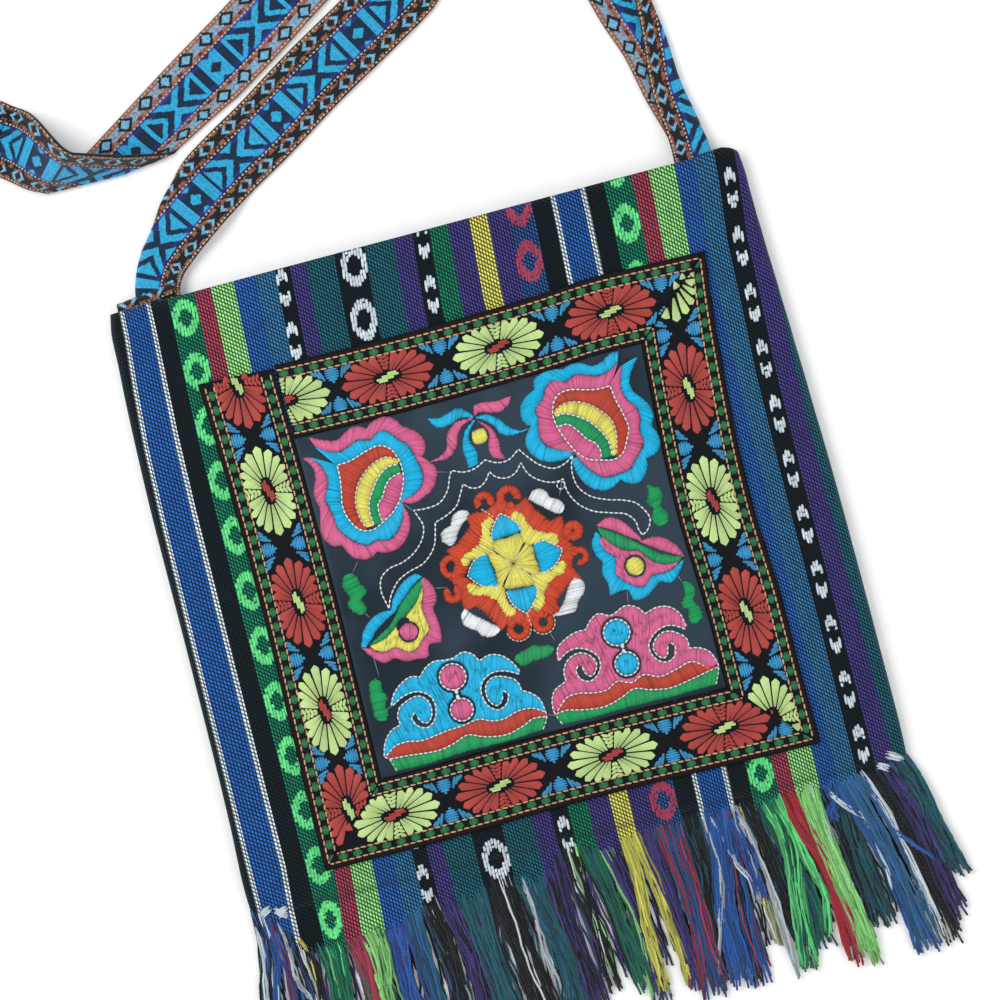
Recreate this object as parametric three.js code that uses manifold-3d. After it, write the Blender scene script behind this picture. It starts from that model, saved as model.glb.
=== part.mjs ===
// Embroidered crossbody bag, lying on its back with its woven strap laid out on the same surface.
// Millimetres: X across the bag, Y from the fringe towards the mouth, Z up from the surface.
import * as THREE from "three";
import { mergeVertices } from "three/addons/utils/BufferGeometryUtils.js";
import Module from "manifold-3d";

const wasm = await Module();
wasm.setup();

// Driving sizes
const CLOTH_WALL = 1.6;
const TRIM_THICK = 1.0;
const STITCH_THICK = 0.9;
const CLEARANCE = 0.35;
const RIBBON_WIDTH = 33;
const STRAP_WIDTH = 32;
const STRAP_THICK = 1.3;
const SEAM_DEPTH = 6;
const CROWN = 5;
const MOUTH_SLOPE = 0.017;
const HEADING_DEPTH = 9;
const LOCK_COUNT = 32;
const LOCK_LENGTH = 66;

// Pouch sections from the bottom seam to the mouth: the two side folds, the radius that the cloth turns
// there, and the height of the padded middle.
const POUCH_SECTIONS = [
  { y: -137, left: -148.5, right: 150.0, fold: 2.2, height: 4.6 },
  { y: -126, left: -148.2, right: 150.0, fold: 3.0, height: 8.8 },
  { y: -95, left: -147.8, right: 149.8, fold: 3.6, height: 12.4 },
  { y: -20, left: -147.7, right: 148.8, fold: 3.8, height: 14.0 },
  { y: 60, left: -147.7, right: 145.8, fold: 3.8, height: 13.0 },
  { y: 118, left: -147.3, right: 144.0, fold: 3.7, height: 11.2 },
  { y: 142, left: -145.4, right: 142.6, fold: 3.7, height: 10.6 },
];
const BOTTOM_SEAM = POUCH_SECTIONS[0];
const MOUTH = POUCH_SECTIONS[POUCH_SECTIONS.length - 1];
const POUCH_ROWS = 15;
const FOLD_STEPS = 3;
const FRONT_STEPS = 18;

const material = (color, roughness) => new THREE.MeshStandardMaterial({ color, roughness, metalness: 0 });
const CLOTH_FINISH = material(0x2f4f7d, 0.9);
const SATIN_FINISH = material(0x1e262e, 0.45);
const RIBBON_FINISH = material(0x9a3a34, 0.75);
const FRINGE_FINISH = material(0x2a5a6e, 0.95);
const STRAP_FINISH = material(0x1fa0d8, 0.8);
const PINK_THREAD = material(0xdc5c94, 0.5);
const BLUE_THREAD = material(0x12a8e8, 0.5);
const ORANGE_THREAD = material(0xd8402c, 0.5);

// The columns of a table, eased through its rows by a cubic curve.
function columnsOf(rows, key, names) {
  const places = rows.map((row) => row[key]);
  const values = rows.flatMap((row) => names.map((name) => row[name]));
  const curve = new THREE.CubicInterpolant(places, values, names.length, new Array(names.length));
  return (place) => {
    const sample = curve.evaluate(place);
    return Object.fromEntries(names.map((name, i) => [name, sample[i]]));
  };
}

const sectionAt = columnsOf(POUCH_SECTIONS, "y", ["left", "right", "fold", "height"]);

// Height of the pouch's front face, crowned between its two side folds.
function frontHeight(x, y) {
  const section = sectionAt(y);
  const middle = (section.left + section.right) / 2;
  const reach = (section.right - section.left) / 2 - section.fold;
  const across = Math.min(1, Math.abs(x - middle) / reach);
  const edge = 2 * section.fold;
  return edge + (section.height - edge) * (1 - across ** CROWN);
}

// Rings of points joined into a closed skin. Each ring runs left to right along its upper side and back
// along its lower side.
class Skin {
  constructor() {
    this.points = [];
    this.faces = [];
  }

  ring(points) {
    const start = this.points.length;
    this.points.push(...points);
    return points.map((_, i) => start + i);
  }

  quad(a, b, c, d) {
    for (const face of [[a, b, c], [a, c, d]]) {
      if (new Set(face).size === 3) this.faces.push(face);
    }
  }

  bridge(near, far) {
    near.forEach((a, i) => {
      const next = (i + 1) % near.length;
      this.quad(a, near[next], far[next], far[i]);
    });
  }

  // Closes a ring by quads from its upper side to its lower side. A pointed ring shares its two end
  // points between the sides.
  cap(ring, pointed, facesForward) {
    const steps = pointed ? ring.length / 2 : ring.length / 2 - 1;
    const lower = (i) => (pointed ? ring[(ring.length - i) % ring.length] : ring[ring.length - 1 - i]);
    for (let i = 0; i < steps; i += 1) {
      const corners = [ring[i], ring[i + 1], lower(i + 1), lower(i)];
      this.quad(...(facesForward ? corners : corners.reverse()));
    }
  }

  geometry() {
    const shape = new THREE.BufferGeometry();
    shape.setFromPoints(this.points);
    shape.setIndex(this.faces.flat());
    shape.computeVertexNormals();
    return shape;
  }
}

// One ring of the pouch wall at a height y, inset from the outside by the cloth's thickness or by nothing.
function pouchRing(y, inset) {
  const section = sectionAt(y);
  const turn = section.fold - inset;
  const from = section.left + section.fold;
  const to = section.right - section.fold;
  const columns = [];
  for (let i = 0; i < FOLD_STEPS; i += 1) {
    const angle = (i / FOLD_STEPS) * (Math.PI / 2);
    columns.push({ x: from - turn * Math.cos(angle), rise: turn * Math.sin(angle) });
  }
  for (let i = 0; i <= FRONT_STEPS; i += 1) {
    const x = from + ((to - from) * i) / FRONT_STEPS;
    columns.push({ x, rise: turn, top: frontHeight(x, y) - inset });
  }
  for (let i = FOLD_STEPS - 1; i >= 0; i -= 1) {
    const angle = (i / FOLD_STEPS) * (Math.PI / 2);
    columns.push({ x: to + turn * Math.cos(angle), rise: turn * Math.sin(angle) });
  }
  const lift = Math.max(0, (y - MOUTH.y / 2) / (MOUTH.y / 2)) ** 2;
  const place = (x, z) => new THREE.Vector3(x, y + MOUTH_SLOPE * x * lift, z);
  const upper = columns.map(({ x, rise, top }) => place(x, top ?? section.fold + rise));
  const lower = columns.slice(1, -1).map(({ x, rise }) => place(x, section.fold - rise));
  return [...upper, ...lower.reverse()];
}

// The pouch is one wrapped cloth, flat on the surface behind and padded in front, open at the mouth and
// sewn shut at the bottom.
function pouchGeometry() {
  const skin = new Skin();
  const wall = (from, inset) => {
    const rings = [];
    for (let i = 0; i <= POUCH_ROWS; i += 1) {
      rings.push(skin.ring(pouchRing(from + ((MOUTH.y - from) * i) / POUCH_ROWS, inset)));
    }
    return rings;
  };
  const outer = wall(BOTTOM_SEAM.y, 0);
  const inner = wall(BOTTOM_SEAM.y + SEAM_DEPTH, CLOTH_WALL);
  for (let i = 0; i < POUCH_ROWS; i += 1) {
    skin.bridge(outer[i], outer[i + 1]);
    skin.bridge(inner[i + 1], inner[i]);
  }
  skin.bridge(outer[POUCH_ROWS], inner[POUCH_ROWS]);
  skin.cap(outer[0], true, false);
  skin.cap(inner[0], true, true);
  return skin.geometry();
}

// Lays a flat slab, built from z = 0 up, on the front face at a given height over it.
function lay(geometry, over) {
  const p = geometry.attributes.position;
  for (let i = 0; i < p.count; i += 1) {
    p.setZ(i, p.getZ(i) + frontHeight(p.getX(i), p.getY(i)) + over);
  }
  geometry.computeVertexNormals();
  return geometry;
}

// A four-sided piece of trim, its corners given in turn from the lower left.
function trim([a, b, c, d], acrossSteps, alongSteps) {
  const slab = new THREE.BoxGeometry(1, 1, TRIM_THICK, acrossSteps, alongSteps, 1);
  const p = slab.attributes.position;
  const blend = (k, u, v) => (a[k] * (1 - u) + b[k] * u) * (1 - v) + (d[k] * (1 - u) + c[k] * u) * v;
  for (let i = 0; i < p.count; i += 1) {
    const u = p.getX(i) + 0.5;
    const v = p.getY(i) + 0.5;
    p.setXYZ(i, blend(0, u, v), blend(1, u, v), p.getZ(i) + TRIM_THICK / 2);
  }
  return lay(slab, CLEARANCE);
}

// The satin panel and the ribbon that frames it. The ribbon is mitred at three corners, and at the top
// left its first end is covered by its last.
const PANEL = { left: -77.8, right: 79.6, bottom: -88.6, top: 67.2 };
const HALF_GAP = 0.2;
const INNER = {
  left: PANEL.left - CLEARANCE,
  right: PANEL.right + CLEARANCE,
  bottom: PANEL.bottom - CLEARANCE,
  top: PANEL.top + CLEARANCE,
};
const OUTER = {
  left: INNER.left - RIBBON_WIDTH,
  right: INNER.right + RIBBON_WIDTH,
  bottom: INNER.bottom - RIBBON_WIDTH,
  top: INNER.top + RIBBON_WIDTH,
};

function satinPanel() {
  const { left, right, bottom, top } = PANEL;
  return trim([[left, bottom], [right, bottom], [right, top], [left, top]], 10, 8);
}

function ribbonTop() {
  const start = INNER.left + HALF_GAP;
  return trim([[start, INNER.top], [INNER.right - HALF_GAP, INNER.top],
    [OUTER.right - HALF_GAP, OUTER.top], [start, OUTER.top]], 10, 2);
}

function ribbonRight() {
  return trim([[INNER.right, INNER.bottom + HALF_GAP], [OUTER.right, OUTER.bottom + HALF_GAP],
    [OUTER.right, OUTER.top - HALF_GAP], [INNER.right, INNER.top - HALF_GAP]], 3, 8);
}

function ribbonBottom() {
  return trim([[OUTER.left + HALF_GAP, OUTER.bottom], [OUTER.right - HALF_GAP, OUTER.bottom],
    [INNER.right - HALF_GAP, INNER.bottom], [INNER.left + HALF_GAP, INNER.bottom]], 10, 2);
}

function ribbonLeft() {
  const end = INNER.left - HALF_GAP;
  return trim([[OUTER.left, OUTER.bottom + HALF_GAP], [end, INNER.bottom + HALF_GAP],
    [end, OUTER.top], [OUTER.left, OUTER.top]], 3, 8);
}

// Outlines of the embroidered motifs, as lobes: from each point an arc runs to the next, standing out
// by bulge times its chord.
const LOBE_STEPS = 4;
const PEONY_LEFT = [
  { x: -73, y: 65, bulge: -0.08 }, { x: -60, y: 61, bulge: 0.2 }, { x: -47, y: 62.5, bulge: 0.26 },
  { x: -32, y: 60, bulge: 0.3 }, { x: -26.5, y: 44, bulge: 0.36 }, { x: -40, y: 26, bulge: 0.26 },
  { x: -56, y: 8.5, bulge: 0.24 }, { x: -70, y: 15, bulge: 0.3 }, { x: -75.6, y: 33, bulge: 0.1 },
  { x: -74.5, y: 49, bulge: -0.1 }, { x: -77, y: 56.5, bulge: 0 }, { x: -71.5, y: 56.5, bulge: 0 },
];
const PEONY_RIGHT = [
  { x: 69, y: 66.5, bulge: -0.04 }, { x: 56, y: 63.5, bulge: 0.16 }, { x: 43, y: 64, bulge: 0.16 },
  { x: 28.5, y: 61, bulge: 0.26 }, { x: 23, y: 45.5, bulge: 0.36 }, { x: 37.5, y: 28, bulge: 0.26 },
  { x: 55.5, y: 13, bulge: 0.26 }, { x: 69, y: 19, bulge: 0.28 }, { x: 75, y: 33, bulge: 0.18 },
  { x: 72, y: 48, bulge: -0.06 }, { x: 75.5, y: 63, bulge: 0 }, { x: 68.5, y: 60, bulge: 0 },
];
const BOW = [
  { x: -1.5, y: 60, bulge: 0.12 }, { x: -19.5, y: 60.5, bulge: 0.15 }, { x: -10, y: 54.5, bulge: -0.1 },
  { x: -22.5, y: 42, bulge: 0.15 }, { x: -9.5, y: 48.5, bulge: -0.1 }, { x: -8, y: 36, bulge: 0.1 },
  { x: -3, y: 37, bulge: -0.1 }, { x: 0, y: 43, bulge: -0.1 }, { x: 3, y: 37.5, bulge: 0.1 },
  { x: 8.5, y: 36, bulge: -0.1 }, { x: 9.5, y: 47.5, bulge: 0.15 }, { x: 21.5, y: 45, bulge: -0.1 },
  { x: 10, y: 55, bulge: 0.15 }, { x: 17, y: 61, bulge: 0.12 },
];
const BUTTERFLY_LEFT = [
  { x: -38.5, y: -5.5, bulge: 0.16 }, { x: -57, y: -17.5, bulge: 0.2 }, { x: -74, y: -32, bulge: 0.16 },
  { x: -59.5, y: -39, bulge: 0.2 }, { x: -44.5, y: -38.5, bulge: 0.1 }, { x: -37.5, y: -37, bulge: 0.06 },
  { x: -37.5, y: -21, bulge: 0.16 },
];
const BUTTERFLY_RIGHT = [
  { x: 39.5, y: -4, bulge: 0.14 }, { x: 38.5, y: -20, bulge: 0.06 }, { x: 39, y: -35, bulge: -0.04 },
  { x: 47, y: -35, bulge: 0.24 }, { x: 61, y: -35.5, bulge: 0.16 }, { x: 75, y: -27, bulge: 0.2 },
  { x: 58.5, y: -13.5, bulge: 0.2 },
];
const CLOUD_LEFT = [
  { x: -75, y: -80, bulge: 0.2 }, { x: -72, y: -87, bulge: 0 }, { x: -4, y: -87.5, bulge: 0.2 },
  { x: -1, y: -77.5, bulge: 0.24 }, { x: -9.5, y: -64, bulge: -0.1 }, { x: -8, y: -57, bulge: 0.26 },
  { x: -24, y: -49, bulge: 0.18 }, { x: -37, y: -45, bulge: 0.12 }, { x: -50, y: -49.5, bulge: 0.22 },
  { x: -66, y: -59, bulge: -0.1 }, { x: -64.5, y: -67.5, bulge: 0.2 },
];
const CLOUD_RIGHT = [
  { x: 3, y: -78.5, bulge: 0.2 }, { x: 6, y: -86.5, bulge: 0 }, { x: 75, y: -86, bulge: 0.2 },
  { x: 77.5, y: -76, bulge: 0.2 }, { x: 66.5, y: -63.5, bulge: -0.1 }, { x: 67.5, y: -56, bulge: 0.26 },
  { x: 52, y: -46.5, bulge: 0.18 }, { x: 37.5, y: -43.5, bulge: 0.14 }, { x: 25, y: -47, bulge: 0.22 },
  { x: 10, y: -57.5, bulge: -0.1 }, { x: 11, y: -67, bulge: 0.2 },
];

function lobedOutline(lobes) {
  const points = [];
  const corners = lobes.map(({ x, y }) => new THREE.Vector2(x, y));
  const outward = THREE.ShapeUtils.isClockWise(corners) ? 1 : -1;
  lobes.forEach(({ bulge }, i) => {
    const from = corners[i];
    const chord = corners[(i + 1) % corners.length].clone().sub(from);
    const out = new THREE.Vector2(-chord.y, chord.x).multiplyScalar(outward * bulge);
    for (let step = 0; step < LOBE_STEPS; step += 1) {
      const along = step / LOBE_STEPS;
      const rise = 4 * along * (1 - along);
      points.push(from.clone().addScaledVector(chord, along).addScaledVector(out, rise));
    }
  });
  return points;
}

// The medallion is a round of eight lobes.
const MEDALLION = { x: 1, y: -10.5, radius: 31.5, lobe: 2.5, lobes: 8, points: 64 };

function medallionOutline() {
  return Array.from({ length: MEDALLION.points }, (_, i) => {
    const angle = (i / MEDALLION.points) * 2 * Math.PI;
    const radius = MEDALLION.radius + MEDALLION.lobe * Math.cos(MEDALLION.lobes * angle);
    return new THREE.Vector2(MEDALLION.x + radius * Math.cos(angle), MEDALLION.y + radius * Math.sin(angle));
  });
}

// A raised pad of stitches, sewn to the panel.
function stitchedPad(outline) {
  const upright = { depth: STITCH_THICK, bevelEnabled: false };
  const pad = new THREE.ExtrudeGeometry(new THREE.Shape(outline), upright);
  return lay(pad, CLEARANCE + TRIM_THICK + CLEARANCE);
}

// A steady scatter between -1 and 1 for one lock of the fringe.
function scatter(index, kind) {
  const wave = Math.sin(index * 12.9898 + kind * 78.233) * 43758.5453;
  return 2 * (wave - Math.floor(wave)) - 1;
}

function solidOf(geometry) {
  geometry.deleteAttribute("normal");
  geometry.deleteAttribute("uv");
  const merged = mergeVertices(geometry);
  const mesh = new wasm.Mesh({
    numProp: 3,
    vertProperties: new Float32Array(merged.attributes.position.array),
    triVerts: new Uint32Array(merged.index.array),
  });
  return new wasm.Manifold(mesh);
}

// The fringe is the cloth's own threads, hanging in wavy locks from a short heading below the seam.
const HEADING = {
  top: BOTTOM_SEAM.y - CLEARANCE,
  left: BOTTOM_SEAM.left + 0.5,
  right: BOTTOM_SEAM.right - 0.5,
  height: 4.2,
};
const LOCK = {
  overlap: 3,
  width: 9.4,
  tipWidth: 0.62,
  belly: 0.2,
  height: 4.6,
  tipHeight: 2.2,
  lengthSpread: 9,
};
const LEAN = { left: -5, right: 8, spread: 5, wave: 2.2, turns: 1.3 };

function fringeLock(index) {
  const part = (index + 0.5) / LOCK_COUNT;
  const root = THREE.MathUtils.lerp(HEADING.left, HEADING.right, part);
  const lean = THREE.MathUtils.lerp(LEAN.left, LEAN.right, part) + LEAN.spread * scatter(index, 1);
  const length = LOCK_LENGTH + LOCK.lengthSpread * scatter(index, 2);
  const phase = Math.PI * scatter(index, 3);
  const top = HEADING.top - HEADING_DEPTH + LOCK.overlap;
  const strip = new THREE.BoxGeometry(1, 1, 1, 2, 5, 1);
  const p = strip.attributes.position;
  for (let i = 0; i < p.count; i += 1) {
    const across = p.getX(i);
    const down = 0.5 - p.getY(i);
    const up = p.getZ(i) + 0.5;
    const taper = THREE.MathUtils.lerp(1, LOCK.tipWidth, down ** 3);
    const width = LOCK.width * taper * (1 + LOCK.belly * Math.sin(Math.PI * down));
    const height = THREE.MathUtils.lerp(LOCK.height, LOCK.tipHeight, down) * (1 - 2 * across * across);
    const wave = LEAN.wave * Math.sin(LEAN.turns * 2 * Math.PI * down + phase) * down;
    p.setXYZ(i, root + lean * down ** 1.5 + wave + across * width, top - down * length, up * height);
  }
  return strip;
}

function fringeGeometry() {
  const { left, right, top, height } = HEADING;
  const heading = new THREE.BoxGeometry(right - left, HEADING_DEPTH, height, 12, 1, 1);
  heading.translate((left + right) / 2, top - HEADING_DEPTH / 2, height / 2);
  let fringe = solidOf(heading);
  for (let i = 0; i < LOCK_COUNT; i += 1) {
    fringe = fringe.add(solidOf(fringeLock(i)));
  }
  const mesh = fringe.getMesh();
  const shape = new THREE.BufferGeometry();
  shape.setAttribute("position", new THREE.BufferAttribute(mesh.vertProperties, mesh.numProp));
  shape.setIndex(new THREE.BufferAttribute(mesh.triVerts, 1));
  shape.computeVertexNormals();
  return shape;
}

// The strap's route, from the end sewn inside the left of the mouth to one inside the right. roll 0 has
// its patterned face up, 90 stands it on its edge and 180 has its reverse up. lift is the height of its
// lowest edge. fold turns a strip of it, flap wide, over along one side.
const INSIDE = CLOTH_WALL + CLEARANCE;
const ROUTE_OUT = [
  { x: -125.5, y: 118, roll: 0, lift: INSIDE, fold: -180, flap: 5 },
  { x: -125.5, y: 132, roll: 0, lift: INSIDE, fold: -180, flap: 5 },
  { x: -125.2, y: 144, roll: 0, lift: INSIDE, fold: -175, flap: 5 },
  { x: -119.5, y: 155, roll: 0, lift: 1, fold: -70, flap: 5 },
  { x: -103.5, y: 171.5, roll: 0, lift: 0, fold: 0, flap: 5 },
  { x: -81.5, y: 189.7, roll: 0, lift: 0, fold: 0, flap: 5 },
  { x: -60.4, y: 203, roll: 0, lift: 0, fold: 0, flap: 5 },
  { x: -34.7, y: 219.6, roll: 0, lift: 0, fold: 0, flap: 5 },
  { x: -8, y: 235.3, roll: 0, lift: 0, fold: 0, flap: 5 },
  { x: 18, y: 251, roll: 10, lift: 0, fold: 0, flap: 5 },
  { x: 37, y: 264, roll: 60, lift: 0, fold: 0, flap: 5 },
  { x: 45, y: 277, roll: 84, lift: 0, fold: 0, flap: 5 },
  { x: 40, y: 289, roll: 92, lift: 0, fold: 0, flap: 5 },
  { x: 25, y: 293, roll: 108, lift: 0, fold: 0, flap: 5 },
  { x: 0, y: 283, roll: 158, lift: 0, fold: 0, flap: 5 },
  { x: -27, y: 266, roll: 180, lift: 0, fold: 0, flap: 5 },
  { x: -52.8, y: 248.8, roll: 180, lift: 0, fold: 0, flap: 5 },
  { x: -79, y: 231.4, roll: 180, lift: 0, fold: 0, flap: 5 },
  { x: -101, y: 217, roll: 180, lift: 0, fold: 0, flap: 5 },
];
const CREASE = { x: -129.6, y: 198.5, radius: 1.3, steps: 4 };
const ROUTE_BACK = [
  { x: -158, y: 216, roll: 0, lift: 0.3, fold: 0, flap: 5 },
  { x: -176, y: 230, roll: 20, lift: 0, fold: 0, flap: 5 },
  { x: -193, y: 252, roll: 68, lift: 0, fold: 0, flap: 5 },
  { x: -194, y: 280, roll: 84, lift: 0, fold: 0, flap: 5 },
  { x: -177, y: 305, roll: 84, lift: 0, fold: 0, flap: 5 },
  { x: -140, y: 322, roll: 76, lift: 0, fold: 0, flap: 5 },
  { x: -90, y: 331, roll: 72, lift: 0, fold: 0, flap: 5 },
  { x: -30, y: 334, roll: 76, lift: 0, fold: 0, flap: 5 },
  { x: 30, y: 329, roll: 84, lift: 0, fold: 0, flap: 5 },
  { x: 76, y: 309, roll: 94, lift: 0, fold: 0, flap: 5 },
  { x: 98, y: 277, roll: 130, lift: 0, fold: 0, flap: 5 },
  { x: 104, y: 246, roll: 172, lift: 0, fold: 60, flap: 5 },
  { x: 108.5, y: 219, roll: 180, lift: 0, fold: 170, flap: 7 },
  { x: 113, y: 190, roll: 180, lift: 0, fold: 180, flap: 10 },
  { x: 117.5, y: 170, roll: 180, lift: 0.5, fold: 180, flap: 12 },
  { x: 121, y: 152, roll: 180, lift: INSIDE, fold: 180, flap: 13.5 },
  { x: 121.5, y: 138, roll: 180, lift: INSIDE, fold: 180, flap: 13.5 },
  { x: 121.5, y: 122, roll: 180, lift: INSIDE, fold: 180, flap: 13.5 },
];
const STEPS_PER_LEG = 2;
const FOLD_RADIUS = 1.2;
const FOLD_ARC = Math.PI * FOLD_RADIUS;
const UP = new THREE.Vector3(0, 0, 1);

// The strap's section, from its left edge to its right, where the flap turns over. Each point has its
// place across and above the strap, and the slope of the web there.
function strapSection(fold, flap) {
  const half = STRAP_WIDTH / 2;
  const crease = -half + flap + FOLD_ARC;
  const bend = THREE.MathUtils.degToRad(fold);
  const points = [{ across: half, above: 0, slope: 0 }, { across: (half + crease) / 2, above: 0, slope: 0 }];
  let across = crease;
  let above = 0;
  points.push({ across, above, slope: 0 });
  for (let i = 1; i <= 4; i += 1) {
    const middle = (bend * (i - 0.5)) / 4;
    across -= (FOLD_ARC / 4) * Math.cos(middle);
    above -= (FOLD_ARC / 4) * Math.sin(middle);
    points.push({ across, above, slope: (bend * i) / 4 });
  }
  for (const out of [flap / 2, flap]) {
    points.push({ across: across - out * Math.cos(bend), above: above - out * Math.sin(bend), slope: bend });
  }
  return points;
}

// One ring of the strap: its upper face from left to right, then its lower face back.
function strapRing(centre, toLeft, toFace, section) {
  const face = (side) => section.map(({ across, above, slope }) => {
    const shift = (side * STRAP_THICK) / 2;
    return centre.clone()
      .addScaledVector(toLeft, across - shift * Math.sin(slope))
      .addScaledVector(toFace, above + shift * Math.cos(slope));
  });
  return [...face(1), ...face(-1).reverse()];
}

function strapRun(route) {
  const line = new THREE.CatmullRomCurve3(route.map(({ x, y }) => new THREE.Vector3(x, y, 0)));
  const rows = route.map((row, leg) => ({ ...row, leg }));
  const columns = columnsOf(rows, "leg", ["roll", "lift", "fold", "flap"]);
  const legs = route.length - 1;
  const rings = [];
  for (let i = 0; i <= legs * STEPS_PER_LEG; i += 1) {
    const leg = i / STEPS_PER_LEG;
    const { roll, lift, fold, flap } = columns(leg);
    const centre = line.getPoint(leg / legs);
    const left = UP.clone().cross(line.getTangent(leg / legs));
    const turn = THREE.MathUtils.degToRad(roll);
    const toLeft = left.clone().multiplyScalar(Math.cos(turn)).addScaledVector(UP, Math.sin(turn));
    const toFace = UP.clone().multiplyScalar(Math.cos(turn)).addScaledVector(left, -Math.sin(turn));
    const edgeRise = (Math.abs(Math.sin(turn)) * STRAP_WIDTH) / 2;
    const faceRise = (Math.abs(Math.cos(turn)) * STRAP_THICK) / 2;
    centre.z = Math.max(lift, 0) + edgeRise + faceRise;
    rings.push(strapRing(centre, toLeft, toFace, strapSection(fold, flap)));
  }
  return { rings, start: line.getTangent(0), end: line.getTangent(1) };
}

// Where the strap is folded over a slanting crease, it turns half round the crease and changes face.
function creaseRings(before, after) {
  const along = before.clone().add(after).normalize();
  const out = before.clone().addScaledVector(along, -before.dot(along)).normalize();
  const stretch = 1 / before.dot(out);
  const section = strapSection(0, 5).map((point) => ({ ...point, across: point.across * stretch }));
  const rings = [];
  for (let i = 0; i <= CREASE.steps; i += 1) {
    const angle = Math.PI * (i / CREASE.steps - 0.5);
    const face = UP.clone().multiplyScalar(Math.sin(angle)).addScaledVector(out, Math.cos(angle));
    const centre = new THREE.Vector3(CREASE.x, CREASE.y, CREASE.radius + STRAP_THICK / 2);
    rings.push(strapRing(centre.addScaledVector(face, CREASE.radius), along, face, section));
  }
  return rings;
}

function strapGeometry() {
  const out = strapRun(ROUTE_OUT);
  const back = strapRun(ROUTE_BACK);
  const skin = new Skin();
  const rows = [...out.rings, ...creaseRings(out.end, back.start), ...back.rings];
  const rings = rows.map((row) => skin.ring(row));
  for (let i = 0; i + 1 < rings.length; i += 1) {
    skin.bridge(rings[i], rings[i + 1]);
  }
  skin.cap(rings[0], false, false);
  skin.cap(rings[rings.length - 1], false, true);
  return skin.geometry();
}

const bag = new THREE.Group();

function add(name, geometry, finish) {
  const piece = new THREE.Mesh(geometry, finish);
  piece.name = name;
  bag.add(piece);
}

add("pouch", pouchGeometry(), CLOTH_FINISH);
add("fringe", fringeGeometry(), FRINGE_FINISH);
add("strap", strapGeometry(), STRAP_FINISH);
add("satin_panel", satinPanel(), SATIN_FINISH);
add("ribbon_top", ribbonTop(), RIBBON_FINISH);
add("ribbon_right", ribbonRight(), RIBBON_FINISH);
add("ribbon_bottom", ribbonBottom(), RIBBON_FINISH);
add("ribbon_left", ribbonLeft(), RIBBON_FINISH);
add("peony_left", stitchedPad(lobedOutline(PEONY_LEFT)), PINK_THREAD);
add("peony_right", stitchedPad(lobedOutline(PEONY_RIGHT)), BLUE_THREAD);
add("bow", stitchedPad(lobedOutline(BOW)), PINK_THREAD);
add("medallion", stitchedPad(medallionOutline()), ORANGE_THREAD);
add("butterfly_left", stitchedPad(lobedOutline(BUTTERFLY_LEFT)), PINK_THREAD);
add("butterfly_right", stitchedPad(lobedOutline(BUTTERFLY_RIGHT)), BLUE_THREAD);
add("cloud_left", stitchedPad(lobedOutline(CLOUD_LEFT)), BLUE_THREAD);
add("cloud_right", stitchedPad(lobedOutline(CLOUD_RIGHT)), PINK_THREAD);

export default bag;
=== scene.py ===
import math

import bmesh
import bpy
import numpy as np
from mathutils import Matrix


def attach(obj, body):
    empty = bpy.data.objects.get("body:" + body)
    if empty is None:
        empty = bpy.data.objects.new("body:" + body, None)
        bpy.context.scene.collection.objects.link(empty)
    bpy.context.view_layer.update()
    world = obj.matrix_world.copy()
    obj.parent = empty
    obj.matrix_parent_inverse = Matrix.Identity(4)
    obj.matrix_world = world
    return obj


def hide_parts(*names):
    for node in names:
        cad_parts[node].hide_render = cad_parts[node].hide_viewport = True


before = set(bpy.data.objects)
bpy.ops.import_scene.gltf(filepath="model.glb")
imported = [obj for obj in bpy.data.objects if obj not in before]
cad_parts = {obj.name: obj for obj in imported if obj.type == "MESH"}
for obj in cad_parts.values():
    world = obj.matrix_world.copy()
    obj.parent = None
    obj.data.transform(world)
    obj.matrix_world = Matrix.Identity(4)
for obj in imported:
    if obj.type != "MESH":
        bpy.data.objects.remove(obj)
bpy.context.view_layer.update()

# The camera looks straight down on the bag, and its frame is turned fourteen degrees from the bag's own
# axes. A long lens, 1.6 m away, keeps the view almost parallel.


def set_out(name, data):
    """A new object in the scene."""
    piece = bpy.data.objects.new(name, data)
    bpy.context.collection.objects.link(piece)
    return piece


camera = set_out("camera", bpy.data.cameras.new("camera"))
camera.location = (0.00214, 0.01773, 1.62)
camera.rotation_euler = (0, 0, math.radians(-14))
camera.data.lens = 130.8
camera.data.sensor_width = 36
bpy.context.scene.camera = camera

# The floor is a plain white table, wide enough to fill every view. It lies just under the bag's back, and it
# isn't part of the bag.
MM = 0.001
FLOOR_SIZE = 4
FLOOR_DROP = 0.0004


def srgb(code):
    """A colour written as six hexadecimal digits, as linear light."""
    parts = np.array([int(code[i:i + 2], 16) / 255 for i in (0, 2, 4)])
    return np.where(parts > 0.04045, ((parts + 0.055) / 1.055) ** 2.4, parts / 12.92)


def plain_finish(name, code, roughness, looks):
    """A new material and its main shader, with a base colour, a roughness and other looks by name."""
    material = bpy.data.materials.new(name)
    material.use_nodes = True
    shader = material.node_tree.nodes["Principled BSDF"]
    for look, value in {"Base Color": (*srgb(code), 1), "Roughness": roughness, **looks}.items():
        shader.inputs[look].default_value = value
    return material, shader


shape = bmesh.new()
bmesh.ops.create_grid(shape, x_segments=1, y_segments=1, size=FLOOR_SIZE)
bmesh.ops.translate(shape, verts=shape.verts, vec=(0, 0, -FLOOR_DROP))
floor_mesh = bpy.data.meshes.new("floor")
shape.to_mesh(floor_mesh)
shape.free()
glow = {"Emission Color": (1, 1, 1, 1), "Emission Strength": 0.12}
floor_mesh.materials.append(plain_finish("white_table", "FFFFFF", 0.8, glow)[0])
floor = set_out("floor", floor_mesh)

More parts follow.
